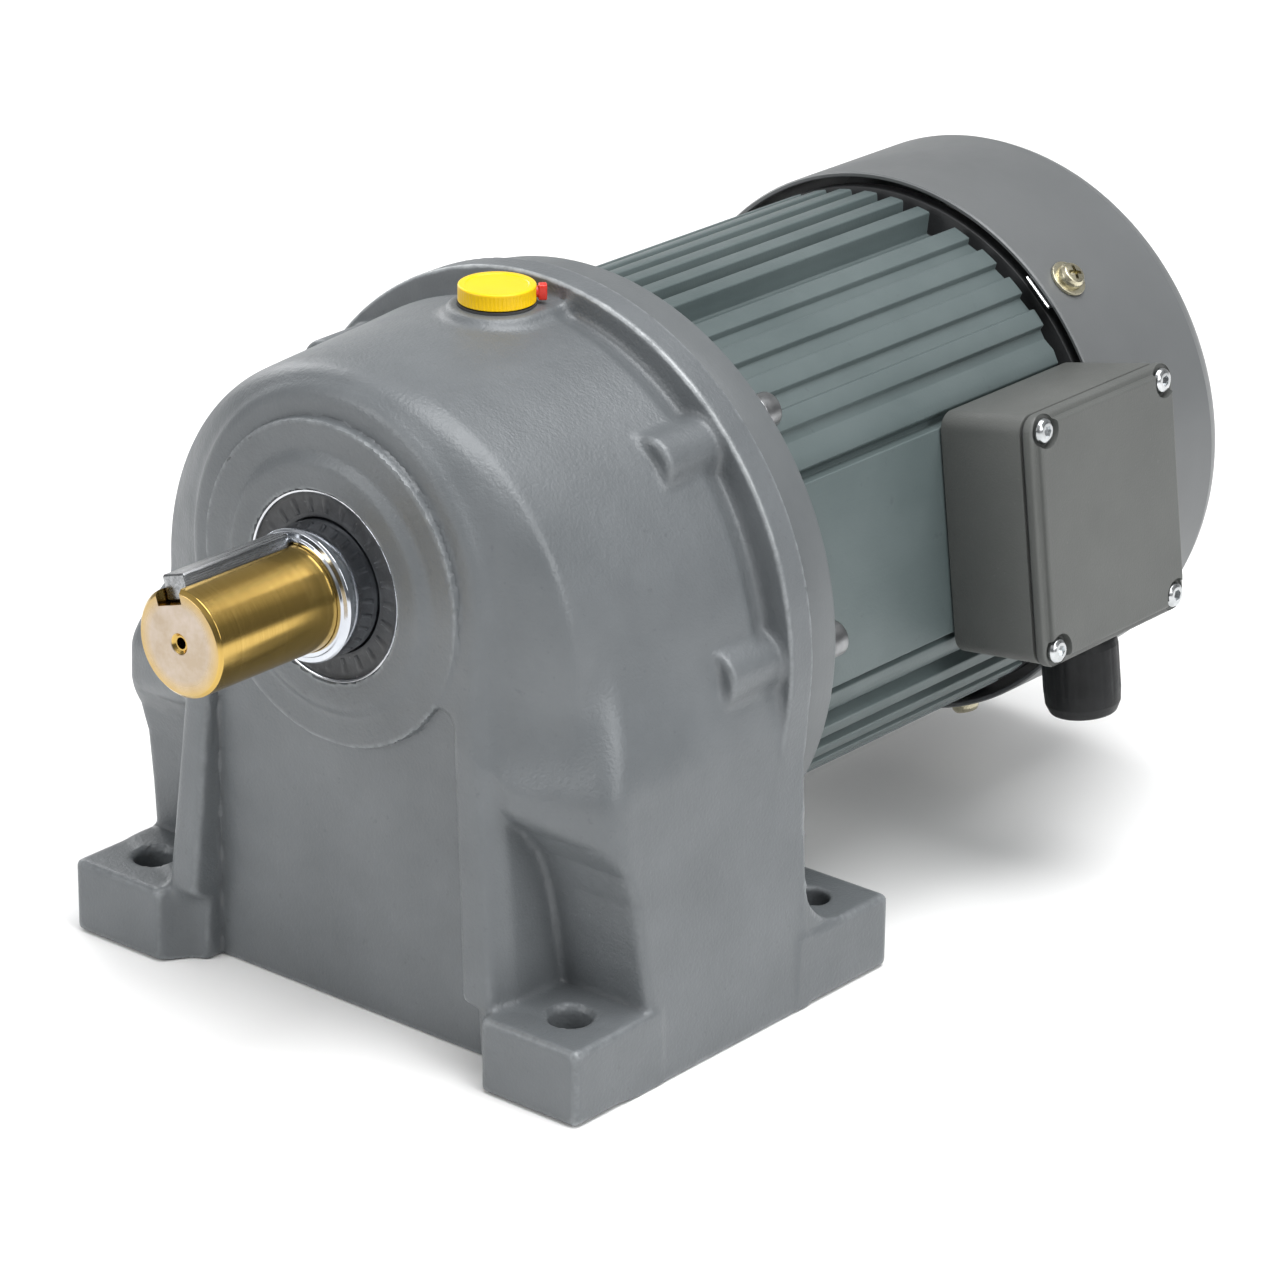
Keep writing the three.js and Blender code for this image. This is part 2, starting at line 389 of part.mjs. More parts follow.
// rear end shield, its screws, fan and fan cover
const COVER_SCREWS = [42.7, 162.7, 282.7];
{
  let s = turned([[0, 224], [25, 224], [27, 238], [56, 238], [56, 234], [59.6, 234], [59.6, 238.1], [68.5, 238.1], [68.5, 246], [30, 250], [0, 250]], 0, MOT_H, 48);
  for (const deg of COVER_SCREWS) {
    const a = rad(deg), c = Math.cos(a), si = Math.sin(a);
    const lug = new THREE.BoxGeometry(14, 9, 20).translate(0, at(243.4), 65.6);
    s = join(s, lug.rotateY(a).translate(0, 0, MOT_H));
    s = cut(s, new THREE.CylinderGeometry(2.3, 2.3, 16, 10).rotateX(Math.PI / 2).translate(0, at(243.4), 70).rotateY(a).translate(0, 0, MOT_H));
  }
  s = cut(s, ring(0, 20.3, 220, 240, 0, MOT_H, 28), ring(0, 9.5, 220, 255, 0, MOT_H, 20));
  s = common(s, ring(0, 75.7, 220, 252, 0, MOT_H, 64));
  add('rear_end_shield', s, castGrey);
  // fan
  let fan = turned([[0, 256], [62, 256], [62, 258], [15, 259.5], [14, 270], [0, 270]], 0, MOT_H, 32);
  for (let i = 0; i < 8; i++)
    fan = join(fan, new THREE.BoxGeometry(2, 14, 54).translate(0, at(264), 38).rotateY(2 * Math.PI * i / 8).translate(0, 0, MOT_H));
  fan = cut(fan, ring(0, 8, 250, 275, 0, MOT_H, 20));
  add('cooling_fan', fan, blackPlastic);
  add('fan_circlip', ring(8, 10.8, 270.4, 271.6, 0, MOT_H, 20), steel);
  // fan cover
  let c = turned([[COVER_R, COVER_Y0], [COVER_R, 281], [76.4, 286], [72.6, 289.6], [66, COVER_Y1], [12, COVER_Y1], [12, COVER_Y1 - 1.5], [65.4, COVER_Y1 - 1.5],
    [71.6, 288.4], [75, 285.2], [COVER_R - 1.5, 281], [COVER_R - 1.5, COVER_Y0]], 0, MOT_H, 56);
  c = join(c, ring(0, 13, COVER_Y1 - 1.5, COVER_Y1, 0, MOT_H, 24));
  for (let i = 0; i < 12; i++) {
    const a0 = rad(30 * i + 4), a1 = rad(30 * i + 26);
    const q = (r, a) => [r * Math.cos(a), MOT_H + r * Math.sin(a)];
    c = cut(c, prism([q(20, a0 + 0.12), q(58, a0), q(58, (a0 + a1) / 2), q(58, a1), q(20, a1 - 0.12)], 288, 295));
  }
  COVER_SCREWS.forEach((deg) => {
    c = cut(c, new THREE.CylinderGeometry(2.4, 2.4, 12, 10).rotateX(Math.PI / 2).translate(0, at(243.4), 76).rotateY(rad(deg)).translate(0, 0, MOT_H));
  });
  add('fan_cover', c, sheetGrey);
  COVER_SCREWS.forEach((deg, i) => {
    const prof = [[0, 64], [1.9, 64], [1.9, 78.1], [5.2, 78.1], [5.2, 79.2], [3.8, 79.2], [3.4, 81.4], [0, 81.8]].map(([r, z]) => new THREE.Vector2(r, z));
    add('fan_cover_screw_' + (i + 1), new THREE.LatheGeometry(prof, 12).rotateX(Math.PI / 2).translate(0, at(243.4), 0).rotateY(rad(deg)).translate(0, 0, MOT_H), zinc);
  });
}

// ---------------------------------------------------------------- terminal box
// built along +X from the motor axis, then turned up by the tilt
const box = new THREE.Group();
box.position.set(0, at(BOX_Y), MOT_H);
box.rotation.y = -BOX_TILT;
reducer.add(box);
{
  const X0 = 68.4, X1 = 94.4;
  const rect = (x, w, h, r) => {
    const pts = [];
    for (const [sx, sz, a0] of [[1, 1, 0], [-1, 1, 90], [-1, -1, 180], [1, -1, 270]])
      for (let i = 0; i <= 3; i++) {
        const a = rad(a0 + 30 * i);
        pts.push([x, sx * (w / 2 - r) + r * Math.cos(a), sz * (h / 2 - r) + r * Math.sin(a)]);
      }
    return pts;
  };
  const stack = (rings) => {
    const n = rings[0].length, pos = rings.flat(2), idx = [];
    for (let k = 0; k + 1 < rings.length; k++)
      for (let i = 0; i < n; i++) {
        const j = (i + 1) % n;
        idx.push(k * n + i, k * n + j, (k + 1) * n + j, k * n + i, (k + 1) * n + j, (k + 1) * n + i);
      }
    for (let i = 1; i + 1 < n; i++) { idx.push(0, i + 1, i); const b = (rings.length - 1) * n; idx.push(b, b + i, b + i + 1); }
    const g = new THREE.BufferGeometry();
    g.setAttribute('position', new THREE.Float32BufferAttribute(pos, 3));
    g.setIndex(idx);
    return g;
  };
  const posts = (r, x0, x1, seg = 12) => [[-1, -1], [-1, 1], [1, -1], [1, 1]].map(([a, b]) =>
    new THREE.CylinderGeometry(r, r, x1 - x0, seg).rotateZ(Math.PI / 2).translate((x0 + x1) / 2, a * 24.6, b * 28.6));
  let body = stack([rect(X0, 57, 62, 4), rect(X1, 59.4, 65.6, 4)]);
  const hollow = stack([rect(X0 + 3, 50.6, 55.6, 3), rect(X1 + 1, 53, 59, 3)]);
  body = cut(body, cut(hollow, posts(4.6, X0, X1 + 2)));
  body = cut(body, posts(2.1, X1 - 14, X1 + 1, 10));
  const along = (r, z0, z1, seg = 20) => new THREE.CylinderGeometry(r, r, z1 - z0, seg).rotateX(Math.PI / 2).translate(0, 0, (z0 + z1) / 2);
  body = cut(body, along(6.8, -40, -20).translate(86.5, 0, 0), new THREE.CylinderGeometry(8, 8, 10, 18).rotateZ(Math.PI / 2).translate(X0, 0, 0));
  add('terminal_box_body', body, boxGrey, box);
  let gasket = cut(stack([rect(94.7, 57, 63, 3.6), rect(95.3, 57, 63, 3.6)]), stack([rect(94, 51, 57, 3), rect(96, 51, 57, 3)]));
  gasket = join(gasket, posts(4.2, 94.7, 95.3));
  gasket = cut(gasket, posts(2.3, 94, 96, 10));
  add('terminal_box_gasket', gasket, rubber, box);
  let cover = stack([rect(95.6, 59.6, 65.8, 4.4), rect(97.2, 59.6, 65.8, 4.4), rect(98.2, 58, 64.2, 4)]);
  cover = join(cover, stack([rect(97, 56, 62.2, 3), rect(BOX_FACE - 0.6, 55.4, 61.6, 3), rect(BOX_FACE, 54.4, 60.6, 3)]));
  cover = cut(cover, posts(2.3, 94, 105, 10), posts(4.6, 97.6, 105, 14));
  add('terminal_box_cover', cover, boxGrey, box);
  posts(1, 0, 1).forEach((_, i) => {
    const [a, b] = [[-1, -1], [-1, 1], [1, -1], [1, 1]][i];
    const prof = [[0, 82], [1.8, 82], [1.8, 97.9], [3.4, 97.9], [3.4, 99], [2.2, 100.2], [0, 100.3]].map(([r, x]) => new THREE.Vector2(r, x));
    add('terminal_box_screw_' + (i + 1), new THREE.LatheGeometry(prof, 12).rotateZ(-Math.PI / 2).translate(0, a * 24.6, b * 28.6), bright, box);
  });
  let tb = new THREE.BoxGeometry(9, 30, 18).translate(76.4, 0, 8);
  tb = join(tb, ...[-15, -5, 5, 15].map((y) => new THREE.BoxGeometry(4, 1.6, 18).translate(82.4, y * 0.95, 8)));
  add('terminal_block', tb, whitePlastic, box);
  // cable gland under the box, and its lock nut inside
  const lathe = (prof, seg) => new THREE.LatheGeometry(prof.map(([r, z]) => new THREE.Vector2(r, z)), seg).rotateX(Math.PI / 2).translate(86.5, 0, 0);
  add('cable_gland', lathe([[5, -55], [6.5, -58], [9, -57.2], [10.3, -54], [10.5, -50], [10.5, -36], [9.6, -33.3], [6.4, -33.3], [6.4, -22.5], [5, -22.5], [5, -55]], 20), blackPlastic, box);
  add('cable_gland_nut', lathe([[7.6, -27.8], [9.2, -27.8], [9.2, -25], [7.6, -25], [7.6, -27.8]], 6), blackPlastic, box);
}

export default reducer;
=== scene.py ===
import math

import bmesh
import bpy
import numpy as np
from mathutils import Matrix, Vector, geometry


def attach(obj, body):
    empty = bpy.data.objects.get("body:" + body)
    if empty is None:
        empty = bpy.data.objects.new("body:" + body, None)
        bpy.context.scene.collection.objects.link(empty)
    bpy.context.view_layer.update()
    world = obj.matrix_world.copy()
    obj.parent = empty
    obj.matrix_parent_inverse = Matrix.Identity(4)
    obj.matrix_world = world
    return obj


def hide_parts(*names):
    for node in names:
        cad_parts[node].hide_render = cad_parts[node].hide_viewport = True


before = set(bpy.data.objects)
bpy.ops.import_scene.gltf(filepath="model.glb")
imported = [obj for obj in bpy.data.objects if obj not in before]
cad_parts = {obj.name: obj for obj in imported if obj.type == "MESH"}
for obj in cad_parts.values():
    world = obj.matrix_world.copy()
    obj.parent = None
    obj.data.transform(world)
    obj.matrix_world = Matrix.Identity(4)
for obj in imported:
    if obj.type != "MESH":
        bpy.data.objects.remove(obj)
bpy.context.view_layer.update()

# Millimetres while building: x across, d along the shaft from the front face of
# the feet, z up. MM and D0 turn them into the frame's metres.
MM = 0.001
D0 = 62.5
OUT_H, MOT_H = 119.2, 95.1
INT_X, INT_Z = -36.94469849676807, 82.6064315352697
LUGS = (45, 90, 135, 225, 270, 315)
LUG_R = 79.0
rad = math.radians


def P(x, d, z):
    return (x * MM, (d - D0) * MM, z * MM)


# ------------------------------------------------------------------ materials
def nodes_of(name):
    m = bpy.data.materials.new(name)
    m.use_nodes = True
    t = m.node_tree
    t.nodes.clear()
    out = t.nodes.new("ShaderNodeOutputMaterial")
    b = t.nodes.new("ShaderNodeBsdfPrincipled")
    t.links.new(b.outputs[0], out.inputs[0])
    return m, t, b


def noise_node(t, scale, detail=3.0, rough=0.5, stretch=None, dist=0.0):
    c = t.nodes.new("ShaderNodeTexCoord")
    n = t.nodes.new("ShaderNodeTexNoise")
    n.inputs["Scale"].default_value = scale
    n.inputs["Detail"].default_value = detail
    n.inputs["Roughness"].default_value = rough
    n.inputs["Distortion"].default_value = dist
    if stretch:
        mp = t.nodes.new("ShaderNodeMapping")
        mp.inputs["Scale"].default_value = stretch
        t.links.new(c.outputs["Object"], mp.inputs[0])
        t.links.new(mp.outputs[0], n.inputs["Vector"])
    else:
        t.links.new(c.outputs["Object"], n.inputs["Vector"])
    return n.outputs[0]


def map_range(t, value, a, b, c, d):
    n = t.nodes.new("ShaderNodeMapRange")
    n.inputs[1].default_value, n.inputs[2].default_value = a, b
    n.inputs[3].default_value, n.inputs[4].default_value = c, d
    t.links.new(value, n.inputs[0])
    return n.outputs[0]


def mix_color(t, fac, a, b):
    n = t.nodes.new("ShaderNodeMix")
    n.data_type = "RGBA"
    t.links.new(fac, n.inputs[0])
    for s, v in ((n.inputs[6], a), (n.inputs[7], b)):
        if isinstance(v, tuple):
            s.default_value = (*v, 1.0)
        else:
            t.links.new(v, s)
    return n.outputs[2]


def maths(t, op, a, b=None, c=None):
    n = t.nodes.new("ShaderNodeMath")
    n.operation = op
    for i, v in enumerate((a, b, c)):
        if v is None:
            continue
        if isinstance(v, (int, float)):
            n.inputs[i].default_value = v
        else:
            t.links.new(v, n.inputs[i])
    return n.outputs[0]


def surface(name, dark, light, scale=60, rough=(0.4, 0.5), metal=0.0, bumps=(), coat=0.0,
            stretch=None, edge_wear_highlight_and_shade=None, spec=0.5, extra=None, speck=None):
    m, t, b = nodes_of(name)
    big = noise_node(t, scale, 4.0, 0.6, stretch)
    col = mix_color(t, map_range(t, big, 0.32, 0.68, 0.0, 1.0), dark, light)
    if speck:
        s = noise_node(t, speck[0], 2.0, 0.6)
        col = mix_color(t, map_range(t, s, speck[1], speck[1] + 0.1, 0.0, speck[3]), col, speck[2])
    r = map_range(t, noise_node(t, scale * 3.1, 3.0, 0.6, stretch), 0.3, 0.7, rough[0], rough[1])
    if edge_wear_highlight_and_shade:
        # convex edges lightened by pointiness: partly worn paint, partly painted highlight; concave hollows darkened
        # below as painted shade
        g = t.nodes.new("ShaderNodeNewGeometry")
        edge = map_range(t, g.outputs["Pointiness"], edge_wear_highlight_and_shade[0], edge_wear_highlight_and_shade[1], 0.0, 1.0)
        broken = map_range(t, noise_node(t, 340, 3.0, 0.65), 0.35, 0.6, 0.15, 1.0)
        f = maths(t, "MULTIPLY", edge, broken)
        f = maths(t, "MULTIPLY", f, edge_wear_highlight_and_shade[3])
        col = mix_color(t, f, col, edge_wear_highlight_and_shade[2])
        # painted shade: creases and hollows darkened towards a deeper grey
        painted_hollow_shade = map_range(t, g.outputs["Pointiness"], 0.5 - (edge_wear_highlight_and_shade[0] - 0.5), 0.5 - (edge_wear_highlight_and_shade[1] - 0.5) * 1.3, 0.0, 0.5)
        col = mix_color(t, painted_hollow_shade, col, tuple(v * 0.45 for v in dark))
    if extra:
        col, r = extra(t, col, r)
    t.links.new(col, b.inputs["Base Color"])
    t.links.new(r, b.inputs["Roughness"])
    b.inputs["Metallic"].default_value = metal
    b.inputs["Specular IOR Level"].default_value = spec
    if coat:
        b.inputs["Coat Weight"].default_value = coat
        b.inputs["Coat Roughness"].default_value = 0.12
    normal = None
    for sc, strength, dist, st in bumps:
        bp = t.nodes.new("ShaderNodeBump")
        bp.inputs["Strength"].default_value = strength
        bp.inputs["Distance"].default_value = dist
        t.links.new(noise_node(t, sc, 2.0, 0.55, st), bp.inputs["Height"])
        if normal is not None:
            t.links.new(normal, bp.inputs["Normal"])
        normal = bp.outputs[0]
    if normal is not None:
        t.links.new(normal, b.inputs["Normal"])
    return m


def flange_edge(t, col, r):
    """Bare worn metal along the front rim of the flange, made brighter towards the top as a painted highlight."""
    c = t.nodes.new("ShaderNodeTexCoord")
    s = t.nodes.new("ShaderNodeSeparateXYZ")
    t.links.new(c.outputs["Object"], s.inputs[0])
    dz = maths(t, "SUBTRACT", s.outputs[2], MOT_H * MM)
    rr = maths(t, "SQRT", maths(t, "ADD", maths(t, "MULTIPLY", s.outputs[0], s.outputs[0]), maths(t, "MULTIPLY", dz, dz)))
    a = maths(t, "SUBTRACT", rr, 0.0869)
    y = maths(t, "SUBTRACT", s.outputs[1], (82.5 - D0) * MM)
    dist = maths(t, "SQRT", maths(t, "ADD", maths(t, "MULTIPLY", a, a), maths(t, "MULTIPLY", y, y)))
    n = noise_node(t, 90, 4.0, 0.7)
    lim = map_range(t, n, 0.3, 0.75, 0.0002, 0.0011)
    f = map_range(t, maths(t, "SUBTRACT", lim, dist), -0.0004, 0.0003, 0.0, 0.8)
    # painted highlight: the worn rim line is weighted brighter with height, where the light falls
    top = map_range(t, s.outputs[2], 0.09, 0.17, 0.15, 1.0)
    f = maths(t, "MULTIPLY", f, top)
    col = mix_color(t, f, col, (0.42, 0.44, 0.45))
    # dark chips round the machined ring behind the seal
    oz = maths(t, "SUBTRACT", s.outputs[2], OUT_H * MM)
    ro = maths(t, "SQRT", maths(t, "ADD", maths(t, "MULTIPLY", s.outputs[0], s.outputs[0]), maths(t, "MULTIPLY", oz, oz)))
    q = maths(t, "ABSOLUTE", maths(t, "SUBTRACT", ro, 0.0418))
    y2 = maths(t, "ABSOLUTE", maths(t, "SUBTRACT", s.outputs[1], (7.2 - D0) * MM))
    d2 = maths(t, "ADD", q, y2)
    n2 = noise_node(t, 230, 3.0, 0.7)
    lim2 = map_range(t, n2, 0.5, 0.72, 0.0, 0.0016)
    f2 = map_range(t, maths(t, "SUBTRACT", lim2, d2), -0.0002, 0.0002, 0.0, 0.85)
    f2 = maths(t, "MULTIPLY", f2, map_range(t, s.outputs[2], 0.118, 0.135, 0.0, 1.0))
    col = mix_color(t, f2, col, (0.05, 0.055, 0.055))
    rough = maths(t, "SUBTRACT", r, maths(t, "MULTIPLY", f, 0.12))
    return col, rough


GREY_D, GREY_L = (0.112, 0.122, 0.129), (0.138, 0.149, 0.157)
MAT = {
    "cast_paint": surface("cast_paint", GREY_D, GREY_L, 28, (0.36, 0.46), 0.12,
                          [(1150, 0.5, 0.00028, None), (330, 0.2, 0.0005, None)], spec=0.5,
                          edge_wear_highlight_and_shade=(0.52, 0.585, (0.34, 0.36, 0.37), 0.75), extra=flange_edge, speck=(420, 0.66, (0.08, 0.088, 0.092), 0.35)),
    "flange_paint": surface("flange_paint", (0.112, 0.121, 0.126), (0.136, 0.146, 0.151), 24, (0.34, 0.44), 0.12,
                            [(1400, 0.25, 0.0002, None), (60, 0.06, 0.0006, (1, 12, 1))]),
    "frame_paint": surface("frame_paint", (0.082, 0.107, 0.108), (0.112, 0.140, 0.141), 16, (0.36, 0.47), 0.15,
                           [(1200, 0.22, 0.0002, None), (70, 0.12, 0.0004, (6, 0.15, 6))], speck=(260, 0.68, (0.06, 0.075, 0.076), 0.4)),
    "cover_paint": surface("cover_paint", (0.119, 0.125, 0.128), (0.140, 0.147, 0.150), 14, (0.34, 0.42), 0.1,
                           [(1800, 0.16, 0.00015, None), (9, 0.05, 0.002, None)]),
    "box_paint": surface("box_paint", (0.086, 0.090, 0.086), (0.104, 0.108, 0.103), 18, (0.44, 0.54), 0.0,
                         [(1700, 0.42, 0.00025, None), (240, 0.08, 0.0003, None)], spec=0.4, speck=(900, 0.66, (0.14, 0.145, 0.14), 0.35)),
    "raw_casting": surface("raw_casting", (0.30, 0.31, 0.32), (0.42, 0.43, 0.44), 70, (0.4, 0.6), 0.9,
                           [(900, 0.4, 0.0003, None)]),
    "shaft_gold": surface("shaft_gold", (0.52, 0.33, 0.095), (0.74, 0.50, 0.17), 1.0, (0.13, 0.24), 1.0,
                          [(1.0, 0.16, 0.00006, (14, 2600, 14))], stretch=(16, 1100, 16)),
    "winding_copper": surface("winding_copper", (0.35, 0.12, 0.04), (0.62, 0.26, 0.10), 1.0, (0.3, 0.5), 0.9,
                              [(1.0, 0.8, 0.0008, (60, 900, 60))], stretch=(80, 700, 80)),
    "key_steel": surface("key_steel", (0.20, 0.205, 0.21), (0.40, 0.41, 0.42), 1.0, (0.20, 0.34), 1.0,
                         [(1.0, 0.25, 0.00008, (1800, 40, 1800))], stretch=(900, 30, 900), speck=(500, 0.67, (0.12, 0.12, 0.13), 0.7)),
    "bearing_steel": surface("bearing_steel", (0.52, 0.53, 0.55), (0.66, 0.67, 0.69), 40, (0.14, 0.24), 1.0,
                             [(1.0, 0.12, 0.00005, (30, 2200, 30))]),
    "gear_steel": surface("gear_steel", (0.20, 0.205, 0.215), (0.32, 0.325, 0.335), 60, (0.28, 0.42), 1.0,
                          [(700, 0.2, 0.0001, None)]),
    "lamination_steel": surface("lamination_steel", (0.10, 0.10, 0.105), (0.30, 0.30, 0.31), 1.0, (0.4, 0.6), 0.9,
                                [(1.0, 0.8, 0.0003, (2, 1900, 2))], stretch=(3, 1900, 3)),
    "screw_steel": surface("screw_steel", (0.20, 0.205, 0.21), (0.34, 0.345, 0.35), 120, (0.28, 0.42), 1.0,
                           [(900, 0.2, 0.0001, None)]),
    "screw_zinc": surface("screw_zinc", (0.46, 0.42, 0.30), (0.70, 0.66, 0.50), 130, (0.22, 0.36), 1.0,
                          [(900, 0.25, 0.0001, None)], speck=(500, 0.64, (0.2, 0.17, 0.1), 0.6)),
    "collar_chrome": surface("collar_chrome", (0.50, 0.52, 0.56), (0.66, 0.69, 0.73), 50, (0.06, 0.12), 1.0,
                             [(1.0, 0.10, 0.00004, (20, 2600, 20))]),
    "screw_bright": surface("screw_bright", (0.40, 0.415, 0.42), (0.62, 0.635, 0.645), 160, (0.14, 0.26), 1.0,
                            [(800, 0.15, 0.0001, None)]),
    "seal_rubber": surface("seal_rubber", (0.018, 0.019, 0.021), (0.040, 0.042, 0.045), 200, (0.34, 0.55), 0.0,
                           [(1300, 0.35, 0.0002, None)], speck=(620, 0.66, (0.16, 0.16, 0.16), 0.5)),
    "gasket_rubber": surface("gasket_rubber", (0.03, 0.031, 0.032), (0.055, 0.056, 0.057), 150, (0.55, 0.7), 0.0,
                             [(900, 0.4, 0.0002, None)]),
    "gasket_paper": surface("gasket_paper", (0.06, 0.055, 0.045), (0.12, 0.105, 0.08), 200, (0.75, 0.9), 0.0,
                            [(1500, 0.5, 0.0002, None)]),
    "plug_yellow": surface("plug_yellow", (0.80, 0.49, 0.0), (0.87, 0.56, 0.001), 30, (0.32, 0.42), 0.0,
                           [(700, 0.08, 0.0001, None)], coat=0.08, spec=0.3),
    "pin_red": surface("pin_red", (0.52, 0.022, 0.012), (0.66, 0.035, 0.02), 90, (0.28, 0.4), 0.0,
                       [(800, 0.15, 0.0001, None)]),
    "fan_plastic": surface("fan_plastic", (0.016, 0.017, 0.018), (0.03, 0.031, 0.033), 60, (0.45, 0.6), 0.0,
                           [(1100, 0.3, 0.0002, None)]),
    "gland_plastic": surface("gland_plastic", (0.006, 0.0065, 0.007), (0.013, 0.014, 0.015), 90, (0.42, 0.55), 0.0,
                             [(1200, 0.3, 0.0002, None)], spec=0.25),
    "block_plastic": surface("block_plastic", (0.48, 0.45, 0.38), (0.58, 0.55, 0.47), 60, (0.4, 0.55), 0.0,
                             [(900, 0.2, 0.0002, None)]),
}


def end_face(t, col, r):
    """The shaft's ground end face is paler and pinker than its polished side."""
    c = t.nodes.new("ShaderNodeTexCoord")
    s = t.nodes.new("ShaderNodeSeparateXYZ")
    t.links.new(c.outputs["Object"], s.inputs[0])
    f = map_range(t, s.outputs[1], (-45.5 - D0) * MM, (-45.62 - D0) * MM, 0.0, 0.92)
    dz = maths(t, "SUBTRACT", s.outputs[2], OUT_H * MM)
    rr = maths(t, "SQRT", maths(t, "ADD", maths(t, "MULTIPLY", s.outputs[0], s.outputs[0]), maths(t, "MULTIPLY", dz, dz)))
    f = maths(t, "MULTIPLY", f, map_range(t, rr, 0.0095, 0.0130, 1.0, 0.25))
    blot = map_range(t, noise_node(t, 150, 4.0, 0.65), 0.35, 0.7, 0.0, 1.0)
    pale = mix_color(t, blot, (0.42, 0.345, 0.27), (0.52, 0.455, 0.41))
    col = mix_color(t, f, col, pale)
    r = maths(t, "ADD", r, maths(t, "MULTIPLY", f, 0.16))
    return col, r


MAT["shaft_gold"] = surface("shaft_polished", (0.48, 0.315, 0.085), (0.58, 0.395, 0.12), 1.0, (0.15, 0.20), 1.0,
                            [(1.0, 0.07, 0.00004, (9, 3400, 9))], stretch=(10, 2400, 10), extra=end_face)


# ------------------------------------------------------------------ mesh helpers
def make(name, verts, faces, body, material, sharp=32.0, replaces=(), matrix=None, flip=None):
    """verts are (x, d, z) in millimetres; faces are vertex index lists."""
    me = bpy.data.meshes.new(name)
    v = np.asarray(verts, float)
    if matrix is None:
        v = np.column_stack([v[:, 0], v[:, 1] - D0, v[:, 2]]) * MM
    else:
        m = np.array(matrix)
        v = (v @ m[:3, :3].T + m[:3, 3]) * MM
    me.from_pydata(v.tolist(), [], [list(f) for f in faces])
    o = bpy.data.objects.new(name, me)
    bpy.context.scene.collection.objects.link(o)
    finish(o, body, material, sharp, replaces)
    return o


def tidy(o, sharp):
    me = o.data
    bm = bmesh.new()
    bm.from_mesh(me)
    bmesh.ops.remove_doubles(bm, verts=bm.verts, dist=1e-6)
    bmesh.ops.recalc_face_normals(bm, faces=bm.faces)
    lim = rad(sharp)
    for f in bm.faces:
        f.smooth = True
    for e in bm.edges:
        e.smooth = not (len(e.link_faces) != 2 or e.calc_face_angle(0.0) > lim)
    bm.to_mesh(me)
    bm.free()
    me.update()


def finish(o, body, material, sharp=32.0, replaces=()):
    tidy(o, sharp)
    o.data.materials.clear()
    o.data.materials.append(MAT[material] if isinstance(material, str) else material)
    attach(o, body)
    if replaces:
        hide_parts(*replaces)
    return o


def fillet(pts, radius, closed=True, n=4):
    """A polyline's corners rounded. radius is one number or one for each point."""
    out, m = [], len(pts)
    for i, p in enumerate(pts):
        rr = radius[i] if hasattr(radius, "__len__") else radius
        if (not closed and i in (0, m - 1)) or rr <= 0:
            out.append(tuple(p))
            continue
        p = Vector(p)
        a, b = Vector(pts[i - 1]) - p, Vector(pts[(i + 1) % m]) - p
        la, lb = a.length, b.length
        if la < 1e-6 or lb < 1e-6:
            out.append(tuple(p))
            continue
        a, b = a / la, b / lb
        cosang = max(-1, min(1, a.dot(b)))
        half = math.acos(cosang) / 2
        if half > rad(88):
            out.append(tuple(p))
            continue
        t = min(rr / math.tan(half), la * 0.45, lb * 0.45)
        rr2 = t * math.tan(half)
        centre = p + (a + b).normalized() * (rr2 / math.sin(half))
        s, e = p + a * t - centre, p + b * t - centre
        ang = math.atan2(s.x * e.y - s.y * e.x, s.dot(e))
        for k in range(n + 1):
            w = ang * k / n
            out.append((centre.x + s.x * math.cos(w) - s.y * math.sin(w), centre.y + s.x * math.sin(w) + s.y * math.cos(w)))
    return out


def lathe_mesh(profile, x, z, seg=128, closed=True, mod=None, axis="Y"):
    """Turned (radius, d) profile about a line along d through (x, z)."""
    n = len(profile)
    verts, faces, index = [], [], []
    for i, (r, d) in enumerate(profile):
        if r < 1e-6:
            index.append([len(verts)] * seg)
            verts.append((x, d, z))
            continue
        row = []
        for k in range(seg):
            a = 2 * math.pi * k / seg
            rr, dd = (r, d) if mod is None else mod(i, r, d, a)
            row.append(len(verts))
            verts.append((x + rr * math.sin(a), dd, z + rr * math.cos(a)))
        index.append(row)
    for i in range(n if closed else n - 1):
        a, b = index[i], index[(i + 1) % n]
        for k in range(seg):
            k2 = (k + 1) % seg
            q = []
            for v in (a[k], b[k], b[k2], a[k2]):
                if v not in q:
                    q.append(v)
            if len(q) > 2:
                faces.append(q)
    return verts, faces


def lathe(name, profile, x, z, body, material, seg=128, round_to=0.0, closed=True, replaces=(), mod=None, matrix=None, n=3, sharp=32.0):
    prof = fillet(profile, round_to, closed=closed and min(p[0] for p in profile) > 1e-6, n=n) if round_to else profile
    v, f = lathe_mesh(prof, x, z, seg, closed and min(p[0] for p in profile) > 1e-6, mod)
    return make(name, v, f, body, material, sharp, replaces, matrix)


def caps(loops3, order):
    """Triangles over an outline with holes, as indexes into the joined loops."""
    return [tuple(t) for t in geometry.tessellate_polygon(loops3)]


